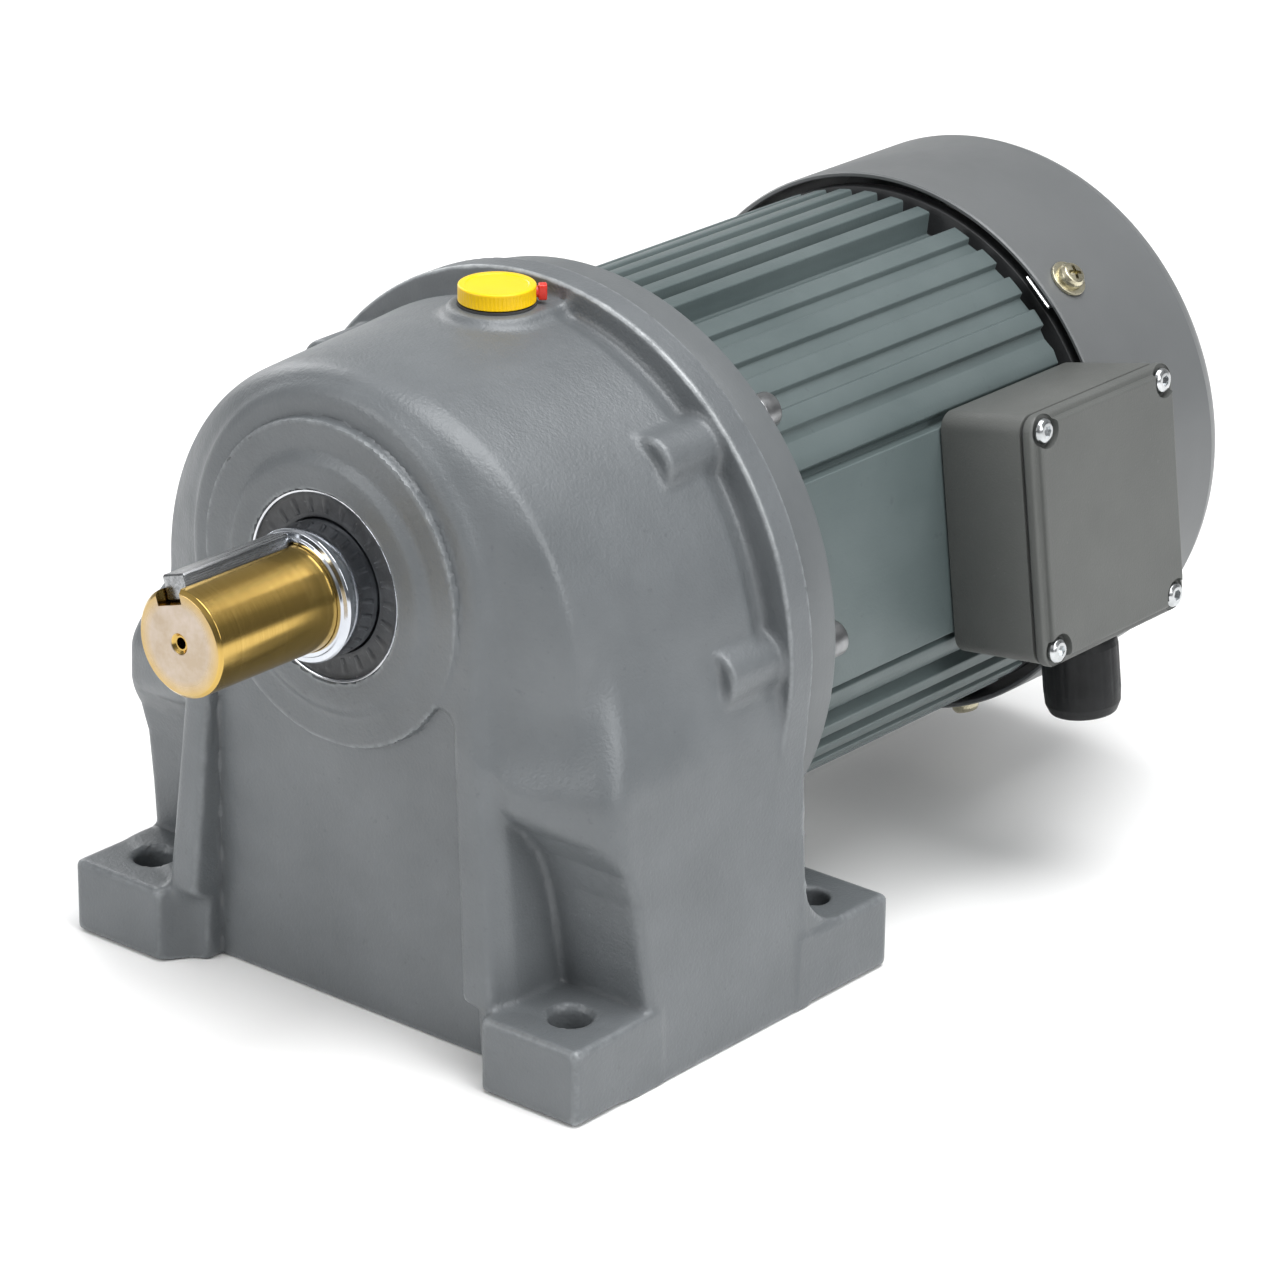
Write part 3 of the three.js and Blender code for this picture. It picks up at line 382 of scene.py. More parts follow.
def prism_mesh(outline, d0, d1, holes=(), bevel=0.0):
    """(x, z) outline extruded along d, with a small chamfer at both ends."""
    def inset(loop, amount):
        m = len(loop)
        out = []
        area = sum(loop[i][0] * loop[(i + 1) % m][1] - loop[(i + 1) % m][0] * loop[i][1] for i in range(m))
        s = 1 if area > 0 else -1
        for i in range(m):
            p0, p1, p2 = Vector(loop[i - 1]), Vector(loop[i]), Vector(loop[(i + 1) % m])
            e1, e2 = (p1 - p0), (p2 - p1)
            if e1.length < 1e-9 or e2.length < 1e-9:
                out.append(tuple(p1))
                continue
            n1, n2 = Vector((-e1.y, e1.x)).normalized(), Vector((-e2.y, e2.x)).normalized()
            nn = n1 + n2
            if nn.length < 1e-6:
                nn = n1
            nn.normalize()
            k = amount / max(0.5, nn.dot(n1))
            out.append(tuple(p1 + nn * k * s))
        return out

    loops = [list(outline)] + [list(h) for h in holes]
    verts, faces = [], []
    ends = {0: [], 1: []}
    for li, loop in enumerate(loops):
        m = len(loop)
        small = inset(loop, bevel if li == 0 else -bevel) if bevel else loop
        rows = []
        levels = [(d0, small), (d0 + bevel, loop), (d1 - bevel, loop), (d1, small)] if bevel else [(d0, loop), (d1, loop)]
        for d, lp in levels:
            rows.append(list(range(len(verts), len(verts) + m)))
            verts += [(px, d, pz) for px, pz in lp]
        for a, b in zip(rows, rows[1:]):
            for i in range(m):
                j = (i + 1) % m
                faces.append((a[i], a[j], b[j], b[i]))
        ends[0].append(rows[0])
        ends[1].append(rows[-1])
    for k in (0, 1):
        flat = [i for row in ends[k] for i in row]
        loops3 = [[Vector((verts[i][0], verts[i][2], 0)) for i in row] for row in ends[k]]
        for t in caps(loops3, None):
            tri = tuple(flat[i] for i in t)
            if len(set(tri)) == 3:
                faces.append(tri)
    return verts, faces


def circle(r, x, z, n=96, a0=0.0):
    return [(x + r * math.cos(a0 + 2 * math.pi * i / n), z + r * math.sin(a0 + 2 * math.pi * i / n)) for i in range(n)]


def temp(name, verts, faces, matrix=None):
    me = bpy.data.meshes.new(name)
    v = np.asarray(verts, float)
    if matrix is None:
        v = np.column_stack([v[:, 0], v[:, 1] - D0, v[:, 2]]) * MM
    else:
        m = np.array(matrix)
        v = (v @ m[:3, :3].T + m[:3, 3]) * MM
    me.from_pydata(v.tolist(), [], [list(f) for f in faces])
    o = bpy.data.objects.new(name, me)
    bpy.context.scene.collection.objects.link(o)
    bm = bmesh.new()
    bm.from_mesh(me)
    bmesh.ops.remove_doubles(bm, verts=bm.verts, dist=1e-7)
    bmesh.ops.recalc_face_normals(bm, faces=bm.faces)
    bm.to_mesh(me)
    bm.free()
    return o


def rod(r, d0, d1, x, z, seg=48):
    return lathe_mesh([(0, d0), (r, d0), (r, d1), (0, d1)], x, z, seg, closed=False)


def hexrod(r, d0, d1, x, z, turn=0.0):
    v, f = lathe_mesh([(0, d0), (r, d0), (r, d1), (0, d1)], x, z, 6, closed=False)
    c, s = math.cos(turn), math.sin(turn)
    return [(x + (a - x) * c - (b2 - z) * s, d, z + (a - x) * s + (b2 - z) * c) for a, d, b2 in v], f


def cut(o, cutters, body, material, slot, sharp=32.0):
    """Booleans with the exact solver, baked into the mesh. The cutters are removed."""
    for i, c in enumerate(cutters):
        md = o.modifiers.new(f"cut{i}", "BOOLEAN")
        md.operation = "DIFFERENCE"
        md.solver = "EXACT"
        md.object = c
    dg = bpy.context.evaluated_depsgraph_get()
    me = bpy.data.meshes.new_from_object(o.evaluated_get(dg))
    o.modifiers.clear()
    old = o.data
    o.data = me
    bpy.data.meshes.remove(old)
    for c in cutters:
        m = c.data
        bpy.data.objects.remove(c)
        bpy.data.meshes.remove(m)
    bm = bmesh.new()
    bm.from_mesh(o.data)
    bmesh.ops.dissolve_degenerate(bm, edges=bm.edges, dist=2e-7)
    bm.to_mesh(o.data)
    bm.free()
    tidy(o, sharp)
    o.data.materials.clear()
    o.data.materials.append(MAT[material])
    return o


def round_edges(o, width, segments=2, angle=35.0):
    md = o.modifiers.new("edge", "BEVEL")
    md.width = width * MM
    md.segments = segments
    md.limit_method = "ANGLE"
    md.angle_limit = rad(angle)
    md.harden_normals = False
    md.use_clamp_overlap = True
    dg = bpy.context.evaluated_depsgraph_get()
    me = bpy.data.meshes.new_from_object(o.evaluated_get(dg))
    o.modifiers.clear()
    old = o.data
    o.data = me
    bpy.data.meshes.remove(old)


# ------------------------------------------------------------------ cast housing
def smin(a, b, k):
    h = np.maximum(k - np.abs(a - b), 0) / k
    return np.minimum(a, b) - h * h * k * 0.25


def smax(a, b, k):
    return -smin(-a, -b, k)


def table(pts, smooth=2.0):
    xs = np.arange(-30, 230, 0.25)
    p = np.array(pts, float)
    ys = np.interp(xs, p[:, 0], p[:, 1])
    n = max(1, int(smooth / 0.25))
    k = np.hanning(2 * n + 3)[1:-1]
    k /= k.sum()
    ys = np.convolve(np.pad(ys, n, mode="edge"), k, mode="valid")
    return lambda v: np.interp(v, xs, ys)


def step(v, a, b):
    t = np.clip((v - a) / (b - a), 0, 1)
    return t * t * (3 - 2 * t)


HOOD_R = table([(8, 42), (12, 51.5), (14, 56.3), (17, 63.0), (19.8, 68.6), (21.2, 69.8), (24, 70.3), (30, 71.4), (45, 74.2), (60, 76.8), (75.5, 79.2), (78.5, 77.6), (95, 77.6)], 1.1)
HOOD_TOP = table([(8, 164), (11, 168.2), (12.5, 170.3), (14, 171.8), (16, 172.8), (20, 173.3), (30, 173.8), (60, 175), (75.5, 176), (79, 174.6), (95, 174.6)], 1.6)
WALL_F = table([(0, 87.5), (80, 84), (86, 82.2), (92, 79.2), (100, 75), (110, 69.5), (120, 63), (140, 48)], 4)
WALL_B = table([(0, 87.5), (80, 84.2), (88, 82.9), (94, 81.0), (100, 78.8), (112, 74.5), (120, 70), (140, 58)], 4)
RISE = table([(0, 0), (79, 0), (84, 2.2), (92, 7), (100, 12), (120, 25), (140, 40)], 4)
CH_R = table([(20, 46), (31, 56), (53, 66), (62.3, 76), (95, 76)], 0.3)
CH_Z = table([(20, 111), (31, 109), (53, 101), (62.3, 96), (95, 95)], 0.3)
CH_W = table([(20, 50), (31, 60), (53, 70), (62.3, 80), (95, 80)], 0.3)
POCKET = [(-20, 20.5), (28.5, 20.5), (27, 35), (25, 50), (22, 59), (17, 66), (10, 71.5), (0, 75), (-20, 78)]


def polygon(px, py, pts):
    px, py = np.asarray(px, np.float32), np.asarray(py, np.float32)
    d = None
    s = None
    n = len(pts)
    for i in range(n):
        ax, ay = pts[i]
        bx, by = pts[(i + 1) % n]
        ex, ey = bx - ax, by - ay
        wx, wy = px - ax, py - ay
        t = np.clip((wx * ex + wy * ey) / (ex * ex + ey * ey), 0, 1)
        dd = (wx - ex * t) ** 2 + (wy - ey * t) ** 2
        d = dd if d is None else np.minimum(d, dd)
        c1, c2 = py >= ay, py < by
        c3 = ex * wy > ey * wx
        flip = np.where((c1 & c2 & c3) | (~c1 & ~c2 & ~c3), -1.0, 1.0)
        s = flip if s is None else s * flip
    return (s * np.sqrt(d)).astype(np.float32)


def box_sdf(x, d, z, x0, x1, d0, d1, z0, z1, r):
    qx = np.abs(x - (x0 + x1) / 2) - ((x1 - x0) / 2 - r)
    qd = np.abs(d - (d0 + d1) / 2) - ((d1 - d0) / 2 - r)
    qz = np.abs(z - (z0 + z1) / 2) - ((z1 - z0) / 2 - r)
    out = np.sqrt(np.maximum(qx, 0) ** 2 + np.maximum(qd, 0) ** 2 + np.maximum(qz, 0) ** 2)
    return out + np.minimum(np.maximum(np.maximum(qx, qd), qz), 0) - r


def casting(x, d, z):
    ax = np.abs(x)
    ro = np.sqrt(x * x + (z - OUT_H) ** 2)
    rm = np.sqrt(x * x + (z - MOT_H) ** 2)
    # hood over the gears
    r, top = HOOD_R(d), HOOD_TOP(d)
    zc = top - r
    slope = np.clip((HOOD_R(d + 0.5) - HOOD_R(d - 0.5)), 0, 3)
    upper = np.sqrt(x * x + (z - zc) ** 2) - r
    hood = np.where(z >= zc, upper, ax - r) / np.sqrt(1 + 0.5 * slope * slope)
    hood = smax(hood, 11.2 - d, 3.0)
    hood = np.maximum(hood, d - 91.4)
    # side walls and the shoulders in front of them
    t = np.clip((d - 35) / 42, 0, 1)
    w = WALL_F(z) * (1 - t) + WALL_B(z) * t - 2.0 * step(d, 76, 79) * step(z, 90, 100)
    front = np.maximum(18.0 - 0.32 * (85 - ax) + RISE(z), 9.3)
    wall = smax((ax - w) / 1.06, (front - d) / 1.2, 5.0)
    wall = np.maximum(np.maximum(wall, d - 91.4), z - 138)
    body = smin(hood, wall, 6.0)
    # arch-shaped ridge: a ring round the bearing that runs down into two ribs
    leg = (ax - (56.8 - 0.114 * (z - 20) + 0.05 * (d - 2))) / 1.01
    ridge = smin(ro - 49.0, np.maximum(leg, z - 108), 4.0)
    low = (1 - step(z, 14, 22)) * np.clip((55.4 - ax) * 1.6, 0, 12.5)
    ridge = smax(ridge, (2.6 + 0.044 * z + low) - d, 3.0)
    ridge = np.maximum(ridge, d - 30)
    body = smin(body, ridge, 5.0)
    # pockets over the front feet
    pocket = smax((58.2 - 0.085 * (z - 20.5) + 0.03 * d) - ax, polygon(d, z, POCKET), 2.0)
    body = smax(body, -pocket, 3.0)
    # recessed front panel
    rec = smax(smax(ax - (48.0 - 0.075 * z), z - 95.5, 5.0), d - (15.0 - 0.07 * z), 1.0)
    body = smax(body, -rec, 2.2)
    # feet
    feet = smin(box_sdf(ax, d, z, 55.8, 87.5, 0, 33, 0, 20.5, 1.8),
                box_sdf(ax, d, z, 55.8, 87.5, 88, 125, 0, 20.5, 1.8), 0.5)
    body = smin(body, feet, 2.4)
    sweep = np.maximum(np.maximum(62 - ax, ax - (87.3 - 0.04 * z)), np.maximum(np.maximum(90 - d, d - 106.4), np.maximum(18 - z, z - 35.5)))
    sweep = np.maximum(sweep, 15.0 - np.sqrt((d - 106.4) ** 2 + (z - 35.5) ** 2))
    body = smin(body, sweep, 1.0)
    # flange, lugs, filler pad
    flange = smax(smax(rm - 86.9, 82.5 - d, 1.2), d - 91.4, 0.8)
    body = smin(body, flange, 2.4)
    for deg in LUGS:
        t = {45: 46, 90: 88.5, 270: 271.5, 315: 314}.get(deg, deg)
        lx, lz = 76.6 * math.sin(rad(t)), MOT_H + 76.6 * math.cos(rad(t))
        lr = np.sqrt((x - lx) ** 2 + (z - lz) ** 2)
        lug = smax(lr - 7.6 - 0.012 * (d - 63), (63.2 + 1.5 * np.clip(1 - lr / 5.0, 0, 1)) - d, 1.8)
        lug = np.maximum(lug, d - 86)
        body = smin(body, lug, 2.2)
    padr = np.sqrt(x * x + (np.minimum(d, 69.6) - 69.6) ** 2)
    pad = smax(smax(padr - 12.6, z - 176.6, 1.6), np.maximum(150 - z, d - 84), 1.0)
    body = smin(body, pad, 4.0)
    # room for the vent pin's head to slide out
    pu = x * 0.731354 + (d - 69.6) * 0.681998
    pv = -x * 0.681998 + (d - 69.6) * 0.731354
    path = np.maximum(np.maximum(7.5 - pu, pu - 17.0), np.maximum(np.abs(pv) - 1.9, 177.4 - z))
    body = np.maximum(body, -path)
    # machined rings round the output bore
    t2 = np.maximum(smax(ro - 42.6, 6.3 - d, 0.8), d - 20)
    t1 = np.maximum(smax(ro - 33.6, 4.4 - d, 3.4), d - 20)
    body = smin(body, t2, 0.6)
    body = smin(body, t1, 2.0)
    body = smax(body, -z, 0.9)
    return np.maximum(body, d - 125)


def hollows(x, d, z):
    ro = np.sqrt(x * x + (z - OUT_H) ** 2)
    rm = np.sqrt(x * x + (z - MOT_H) ** 2)
    ri = np.sqrt((x - INT_X) ** 2 + (z - INT_Z) ** 2)
    r98 = np.sqrt(x * x + (z - 98) ** 2)
    ch = np.minimum(np.maximum(r98 - 64, np.maximum(21 - d, d - 53)), np.maximum(r98 - 70, np.maximum(52.9 - d, d - 62.4)))
    ch = np.minimum(ch, np.maximum(rm - 73.2, np.maximum(62.3 - d, d - 86)))
    ch = np.minimum(ch, np.maximum(np.maximum(np.abs(x) - 72, np.maximum(62.3 - d, d - 82)), np.maximum(14 - z, z - 80)))
    r, zc, w = CH_R(d), CH_Z(d), CH_W(d)
    arch = np.where(z >= zc, np.sqrt(x * x + (z - zc) ** 2) - r, np.abs(x) - (r + (w - r) * (zc - z) / zc))
    ch = np.maximum(np.maximum(ch, arch), 12 - z)
    boss = np.minimum(np.maximum(ro - 38, d - 31), np.maximum(ri - 16, d - 31.2))
    ch = np.maximum(ch, -boss)
    ch = np.minimum(ch, np.maximum(rm - 74.9, 85 - d))
    ch = np.minimum(ch, np.maximum(ro - 24.95, d - 13.1))
    ch = np.minimum(ch, np.maximum(ro - 22, np.maximum(12 - d, d - 15)))
    ch = np.minimum(ch, np.maximum(ro - 31.3, np.maximum(14 - d, d - 32)))
    ch = np.minimum(ch, np.maximum(ri - 11.3, np.maximum(20 - d, d - 32)))
    # foot holes with a broken edge
    hole = np.sqrt((np.abs(x) - 72.5) ** 2 + (np.abs(d - D0) - 47.5) ** 2)
    ch = np.minimum(ch, np.maximum(hole - 5.5 - np.clip(z - 19.7, 0, 0.8), z - 23))
    # filler hole, drain hole and its spot face
    ch = np.minimum(ch, np.maximum(np.sqrt(x * x + (d - 69.6) ** 2) - 7.9, 150 - z))
    rd = np.sqrt((d - 72) ** 2 + (z - 26) ** 2)
    ch = np.minimum(ch, np.maximum(rd - 5.4, np.maximum(x + 58, -98 - x)))
    ch = np.minimum(ch, np.maximum(rd - 8.6, x + 84))
    for deg in LUGS:
        lx, lz = LUG_R * math.sin(rad(deg)), MOT_H + LUG_R * math.cos(rad(deg))
        ch = np.minimum(ch, np.maximum(np.sqrt((x - lx) ** 2 + (z - lz) ** 2) - 3.4, 74 - d))
    return ch


def field(x, d, z):
    return np.maximum(casting(x, d, z), -hollows(x, d, z)).astype(np.float32)


def surface_nets(f, lo, hi, h):
    ax = [np.arange(a, b + h, h, dtype=np.float32) for a, b in zip(lo, hi)]
    X, D, Z = ax[0][:, None, None], ax[1][None, :, None], ax[2][None, None, :]
    F = f(X, D, Z)
    F = np.broadcast_to(F, (len(ax[0]), len(ax[1]), len(ax[2]))).copy()
    F[np.abs(F) < 1e-5] = 1e-5
    s = F < 0
    nx, ny, nz = (n - 1 for n in F.shape)
    count = np.zeros((nx, ny, nz), np.uint8)
    corners = [(i, j, k) for i in (0, 1) for j in (0, 1) for k in (0, 1)]
    for i, j, k in corners:
        count += s[i:i + nx, j:j + ny, k:k + nz]
    active = (count > 0) & (count < 8)
    index = np.full(active.shape, -1, np.int64)
    cells = np.argwhere(active)
    index[active] = np.arange(len(cells))
    pos = np.zeros((len(cells), 3))
    num = np.zeros(len(cells))
    vals = {c: F[cells[:, 0] + c[0], cells[:, 1] + c[1], cells[:, 2] + c[2]].astype(float) for c in corners}
    for a in corners:
        for axis in range(3):
            if a[axis] == 1:
                continue
            b = list(a)
            b[axis] = 1
            fa, fb = vals[a], vals[tuple(b)]
            m = (fa < 0) != (fb < 0)
            t = np.where(m, fa / np.where(m, fa - fb, 1), 0)
            p = np.array(a, float)[None, :].repeat(len(cells), 0)
            p[:, axis] += t
            pos[m] += p[m]
            num[m] += 1
    pos /= num[:, None]
    verts = np.array([a[0] for a in ax]) + h * (cells + pos)
    faces = []
    for axis in range(3):
        u, v = [(1, 2), (2, 0), (0, 1)][axis]
        sl0 = [slice(1, -1)] * 3
        sl1 = [slice(1, -1)] * 3
        sl0[axis], sl1[axis] = slice(0, -1), slice(1, None)
        a, b = s[tuple(sl0)], s[tuple(sl1)]
        for sign, mask in ((1, a & ~b), (-1, ~a & b)):
            e = np.argwhere(mask)
            base = e.copy()
            base[:, u] += 1
            base[:, v] += 1
            quad = []
            for du, dv in ((-1, -1), (0, -1), (0, 0), (-1, 0)):
                c = base.copy()
                c[:, u] += du
                c[:, v] += dv
                quad.append(index[c[:, 0], c[:, 1], c[:, 2]])
            q = np.stack(quad, 1)
            faces.append(q if sign > 0 else q[:, ::-1])
    return verts, np.concatenate(faces)


def settle(f, v, steps=3, limit=0.6):
    v = v.copy()
    start = v.copy()
    e = 0.05
    for _ in range(steps):
        x, d, z = v[:, 0], v[:, 1], v[:, 2]
        c = f(x, d, z).astype(float)
        g = np.stack([f(x + e, d, z) - f(x - e, d, z), f(x, d + e, z) - f(x, d - e, z), f(x, d, z + e) - f(x, d, z - e)], 1).astype(float) / (2 * e)
        n2 = np.maximum((g * g).sum(1), 0.15)
        v -= (c / n2)[:, None] * g * 0.9
        off = v - start
        ln = np.sqrt((off * off).sum(1))
        v = start + off * np.minimum(1, limit / np.maximum(ln, 1e-9))[:, None]
    return v


H = 1.0
hv, hf = surface_nets(field, (-89.5, -2.3, -2.4), (89.5, 127.3, 184.6), H)
hv = settle(field, hv, 3, 0.55 * H)
hv[:, 0] = np.clip(hv[:, 0], -87.5, 87.5)
hv[:, 1] = np.clip(hv[:, 1], 0, 125)
hv[:, 2] = np.clip(hv[:, 2], 0, 182.0)

make("housing_casting", hv, hf, "housing", "cast_paint", 42.0, ["gearbox_housing"])

# ------------------------------------------------------------------ flange joint
flange = lathe("motor_flange_casting",
               [(12.9, 94.9), (15.3, 94.9), (15.3, 88), (74.1, 88), (74.1, 92.5), (84.35, 92.5), (84.35, 103.8), (68, 103.8), (66, 104.6), (59.6, 104.6),
                (59.6, 109), (54, 109), (50, 104), (27, 104), (27, 112), (20.3, 112), (20.3, 98.6), (12.9, 98.6)],
               0, MOT_H, "housing", "flange_paint", 160, 0.5, replaces=["motor_flange"])
cutters = [temp("c", *rod(17.8, 80, 98.3, INT_X, INT_Z, 64))]
for deg in LUGS:
    cutters.append(temp("c", *rod(3.4, 86, 106, LUG_R * math.sin(rad(deg)), MOT_H + LUG_R * math.cos(rad(deg)), 32)))
cut(flange, cutters, "housing", "flange_paint", "flange_paint")
lathe("flange_joint_gasket", [(76, 91.7), (83.9, 91.7), (83.9, 92.2), (76, 92.2)], 0, MOT_H, "housing", "gasket_paper", 160, replaces=["flange_gasket"])
for i, deg in enumerate(LUGS):
    x, z = LUG_R * math.sin(rad(deg)), MOT_H + LUG_R * math.cos(rad(deg))
    v, f = lathe_mesh(fillet([(0, 76), (3, 76), (3, 104.1), (4.9, 104.1), (4.9, 110), (0, 110)], [0, 0.5, 0.1, 0.3, 0.7, 0], closed=False), x, z, 40, closed=False)
    o = make(f"flange_bolt_{i + 1}", v, f, "housing", "screw_steel", replaces=[f"flange_screw_{i + 1}"])
    cut(o, [temp("c", *hexrod(2.5, 106.8, 111, x, z, 0.3))], "housing", "screw_steel", "screw_steel")

# ------------------------------------------------------------------ output shaft
v, f = lathe_mesh(fillet([(0, -45.7), (13, -45.7), (14, -44.7), (14, -1.8), (15, -1.8), (15, 31), (17, 31), (17, 52.2), (13, 52.2), (13, 53.6), (9.9, 53.6), (9.9, 65), (9, 66), (0, 66)],
                         [0, 0.3, 0.3, 0.2, 0.3, 0.1, 0.2, 0.2, 0.1, 0.1, 0.1, 0.1, 0.1, 0], closed=False), 0, OUT_H, 144, closed=False)
shaft = make("output_shaft_turned", v, f, "output", "shaft_gold", replaces=["output_shaft"])
TURN = Matrix.Translation((0, 0, OUT_H)) @ Matrix.Rotation(-rad(17), 4, "Y") @ Matrix.Translation((0, 0, -OUT_H))


def slab(outline_xd, z0, z1, bevel=0.0):
    """(x, d) outline extruded upwards; returns verts in frame millimetres (y = d - D0)."""
    v, f = prism_mesh(outline_xd, z0, z1, bevel=bevel)
    return [(a, b - D0, c) for a, c, b in v], f


def slot_outline(w, d0, d1, n=14, square=True):
    pts = [(-w, d0), (w, d0), (w, d1)]
    pts += [(w * math.cos(math.pi * k / n), d1 + w * math.sin(math.pi * k / n)) for k in range(1, n)]
    pts.append((-w, d1))
    return pts


cutters = [temp("c", *slab(slot_outline(4.15, -50, -8), OUT_H + 9.7, OUT_H + 20), matrix=TURN),
           temp("c", *slab([(-3.2, 35), (3.2, 35), (3.2, 49), (-3.2, 49)], OUT_H + 13.2, OUT_H + 20), matrix=Matrix.Identity(4)),
           temp("c", *lathe_mesh([(0, -47), (2.8, -47), (2.8, -45.65), (1.9, -44.9), (1.5, -44.9), (1.5, -31), (0, -30)], 0, OUT_H, 40, closed=False))]
cut(shaft, cutters, "output", "shaft_gold", "shaft_gold", 30)
v, f = slab(fillet(slot_outline(3.85, -42.6, -8), [0.5, 0.5] + [0] * 20, n=3), OUT_H + 10, OUT_H + 16.6, 0.45)
make("output_key_bar", v, f, "output", "key_steel", replaces=["output_shaft_key"], matrix=TURN, sharp=28)
lathe("output_collar_ring", [(14.1, -5.1), (15.3, -5.1), (15.6, -4.5), (16.9, -4.3), (17.35, -3.7), (17.35, 13.7), (15.3, 13.7), (15.3, -1.9), (14.1, -1.9)], 0, OUT_H, "output", "collar_chrome", 128, 0.25, replaces=["output_shaft_collar"])


# ------------------------------------------------------------------ seal
def ticks(i, r, d, a):
    if 18.9 < r < 22.3 and d < 7:
        k = math.degrees(a) % 15.0
        if k < 1.3 or k > 13.7:
            return r, d - 0.28
    return r, d


seal_prof = [(17.5, 12.5), (17.5, 6.6), (17.7, 6.2), (18.2, 6.05), (18.8, 6.1), (19.0, 6.15), (19.6, 6.15), (20.6, 6.1), (21.6, 6.05), (22.2, 6.0), (22.9, 5.95), (23.6, 5.8), (24.15, 5.5), (24.15, 12.5)]
lathe("seal_lip", seal_prof, 0, OUT_H, "housing", "seal_rubber", 288, replaces=["output_oil_seal"], mod=ticks)
lathe("seal_case", [(24.2, 5.4), (24.35, 4.95), (24.9, 4.7), (24.9, 12.7), (24.2, 12.7)], 0, OUT_H, "housing", "bearing_steel", 144, 0.1)

# ------------------------------------------------------------------ filler plug and vent pin
PY = 69.6
FL = 60


def upright(profile, seg, mod=None):
    """(radius, z) profile about the filler axis."""
    v, f = lathe_mesh(profile, 0, 0, seg, closed=min(p[0] for p in profile) > 1e-6, mod=mod)
    return [(a, PY - D0 + b, d) for a, d, b in v], f


def flutes(i, r, d, a):
    if 9.7 < r and 178.3 < d < 181.3:
        return r - 0.09 * (1 + math.cos(a * FL)), d
    return r, d


cap = fillet([(0, 164), (7.2, 164), (7.2, 177.9), (10, 177.9), (10, 178.4), (10, 181.2), (10, 182.25), (8.2, 182.25), (7.9, 182.0), (0, 182.0)],
             [0, 0.4, 0.3, 0.35, 0, 0, 0.8, 0.15, 0.1, 0], closed=False, n=4)
v, f = upright(cap, 240, flutes)
plug = make("filler_plug_cap", v, f, "housing", "plug_yellow", replaces=["oil_filler_plug"], matrix=Matrix.Identity(4))
PIN = Matrix.Translation((0, PY - D0, 180)) @ Matrix.Rotation(rad(43), 4, "Z")
v, f = lathe_mesh([(0, 3), (1.9, 3), (1.9, 13), (0, 13)], 0, 0, 32, closed=False)
cut(plug, [temp("c", [(d, a, b) for a, d, b in v], f, PIN)], "housing", "plug_yellow", "plug_yellow")
v, f = upright([(8.1, 176.9), (10.2, 176.9), (10.2, 177.6), (8.1, 177.6)], 96)
make("filler_plug_washer", v, f, "housing", "gasket_rubber", replaces=["oil_plug_gasket"], matrix=Matrix.Identity(4))
v, f = lathe_mesh(fillet([(0, 4.5), (1.5, 4.5), (1.5, 10.6), (0, 10.6)], [0, 0.3, 0.1, 0], closed=False), 0, 0, 32, closed=False)
pin = make("vent_pin_moulding", [(d, a, b) for a, d, b in v], f, "vent_pin_body", "pin_red", replaces=["vent_pin"], matrix=PIN)
head = fillet([(-1.5, -2.0), (1.5, -2.0), (1.5, 2.1), (-1.5, 2.1)], 0.5, n=3)
v, f = prism_mesh(head, 10.4, 12.6, bevel=0.25)
make("vent_pin_head", [(d, a, b) for a, d, b in v], f, "vent_pin_body", "pin_red", matrix=PIN)

# drain plug in the left wall
DR = Matrix.Translation((0, 72 - D0, 26)) @ Matrix.Rotation(rad(-90), 4, "Z")
# local +d runs to -x
DR = Matrix(((0, -1, 0, 0), (1, 0, 0, 72 - D0), (0, 0, 1, 26), (0, 0, 0, 1)))
v, f = lathe_mesh(fillet([(0, 75.8), (5, 75.8), (5, 84.4), (7.4, 84.4), (7.4, 87.8), (0, 87.8)], [0, 0.4, 0.2, 0.2, 0.8, 0], closed=False), 0, 0, 64, closed=False)
o = make("drain_plug_turned", v, f, "housing", "screw_steel", replaces=["drain_plug"], matrix=DR)
v, f = hexrod(2.9, 84.0, 90, 0, 0)
cut(o, [temp("c", v, f, DR)], "housing", "screw_steel", "gear_steel")

# ------------------------------------------------------------------ finned motor frame
TILT = rad(7)


def FP(r, deg):
    a = rad(deg) - TILT
    return (r * math.sin(a), MOT_H + r * math.cos(a))


outline, radii = [], []


def put(r, deg, rd):
    outline.append(FP(r, deg))
    radii.append(rd)


def fin(a, b):
    put(66.5, a - 0.6, 1.0)
    put(73.7, a, 0.55)
    put(73.72, (a + b) / 2, 0)
    put(73.7, b, 0.55)
    put(66.5, b + 0.6, 1.0)


LANDS = [(1.7, 5.3), (8.8, 12.4), (16.0, 19.6), (26.5, 30.8), (34.6, 39.2), (43.2, 47.8), (52, 56)]
for a, b in LANDS[:3]:
    fin(a, b)
# the lands beside the flat pad stand only a little above the metal between them
for k, (a, b) in enumerate(LANDS[3:]):
    put(71.4 if k == 0 else 72.1, a - 0.5, 0.35)
    put(73.7, a, 0.35)
    put(73.72, (a + b) / 2, 0)
    put(73.7, b, 0.4)
    put(71.9, b + 0.35, 0.3)
for r, a, rd in ((71.5, 58.5, 0.8), (72.6, 61.5, 0), (72.2, 64.6, 0.6), (69.2, 65.2, 0.5), (68.6, 66.3, 0.5), (73.7, 67.4, 0.6), (73.7, 112.6, 0.6), (68.6, 113.7, 0.5), (69.2, 114.8, 0.5),
                 (72.2, 115.4, 0.6), (72.6, 118.5, 0), (71.5, 121.5, 0.8)):
    put(r, a, rd)
for a, b in reversed(LANDS):
    fin(180 - b, 180 - a)
for a, b in LANDS:
    fin(180 + a, 180 + b)
a = 240
while a < 300:
    fin(a - 0.5, a + 3.6)
    a += 8.6
for a, b in reversed(LANDS):
    fin(360 - b, 360 - a)
prof = fillet(outline, radii, n=3)
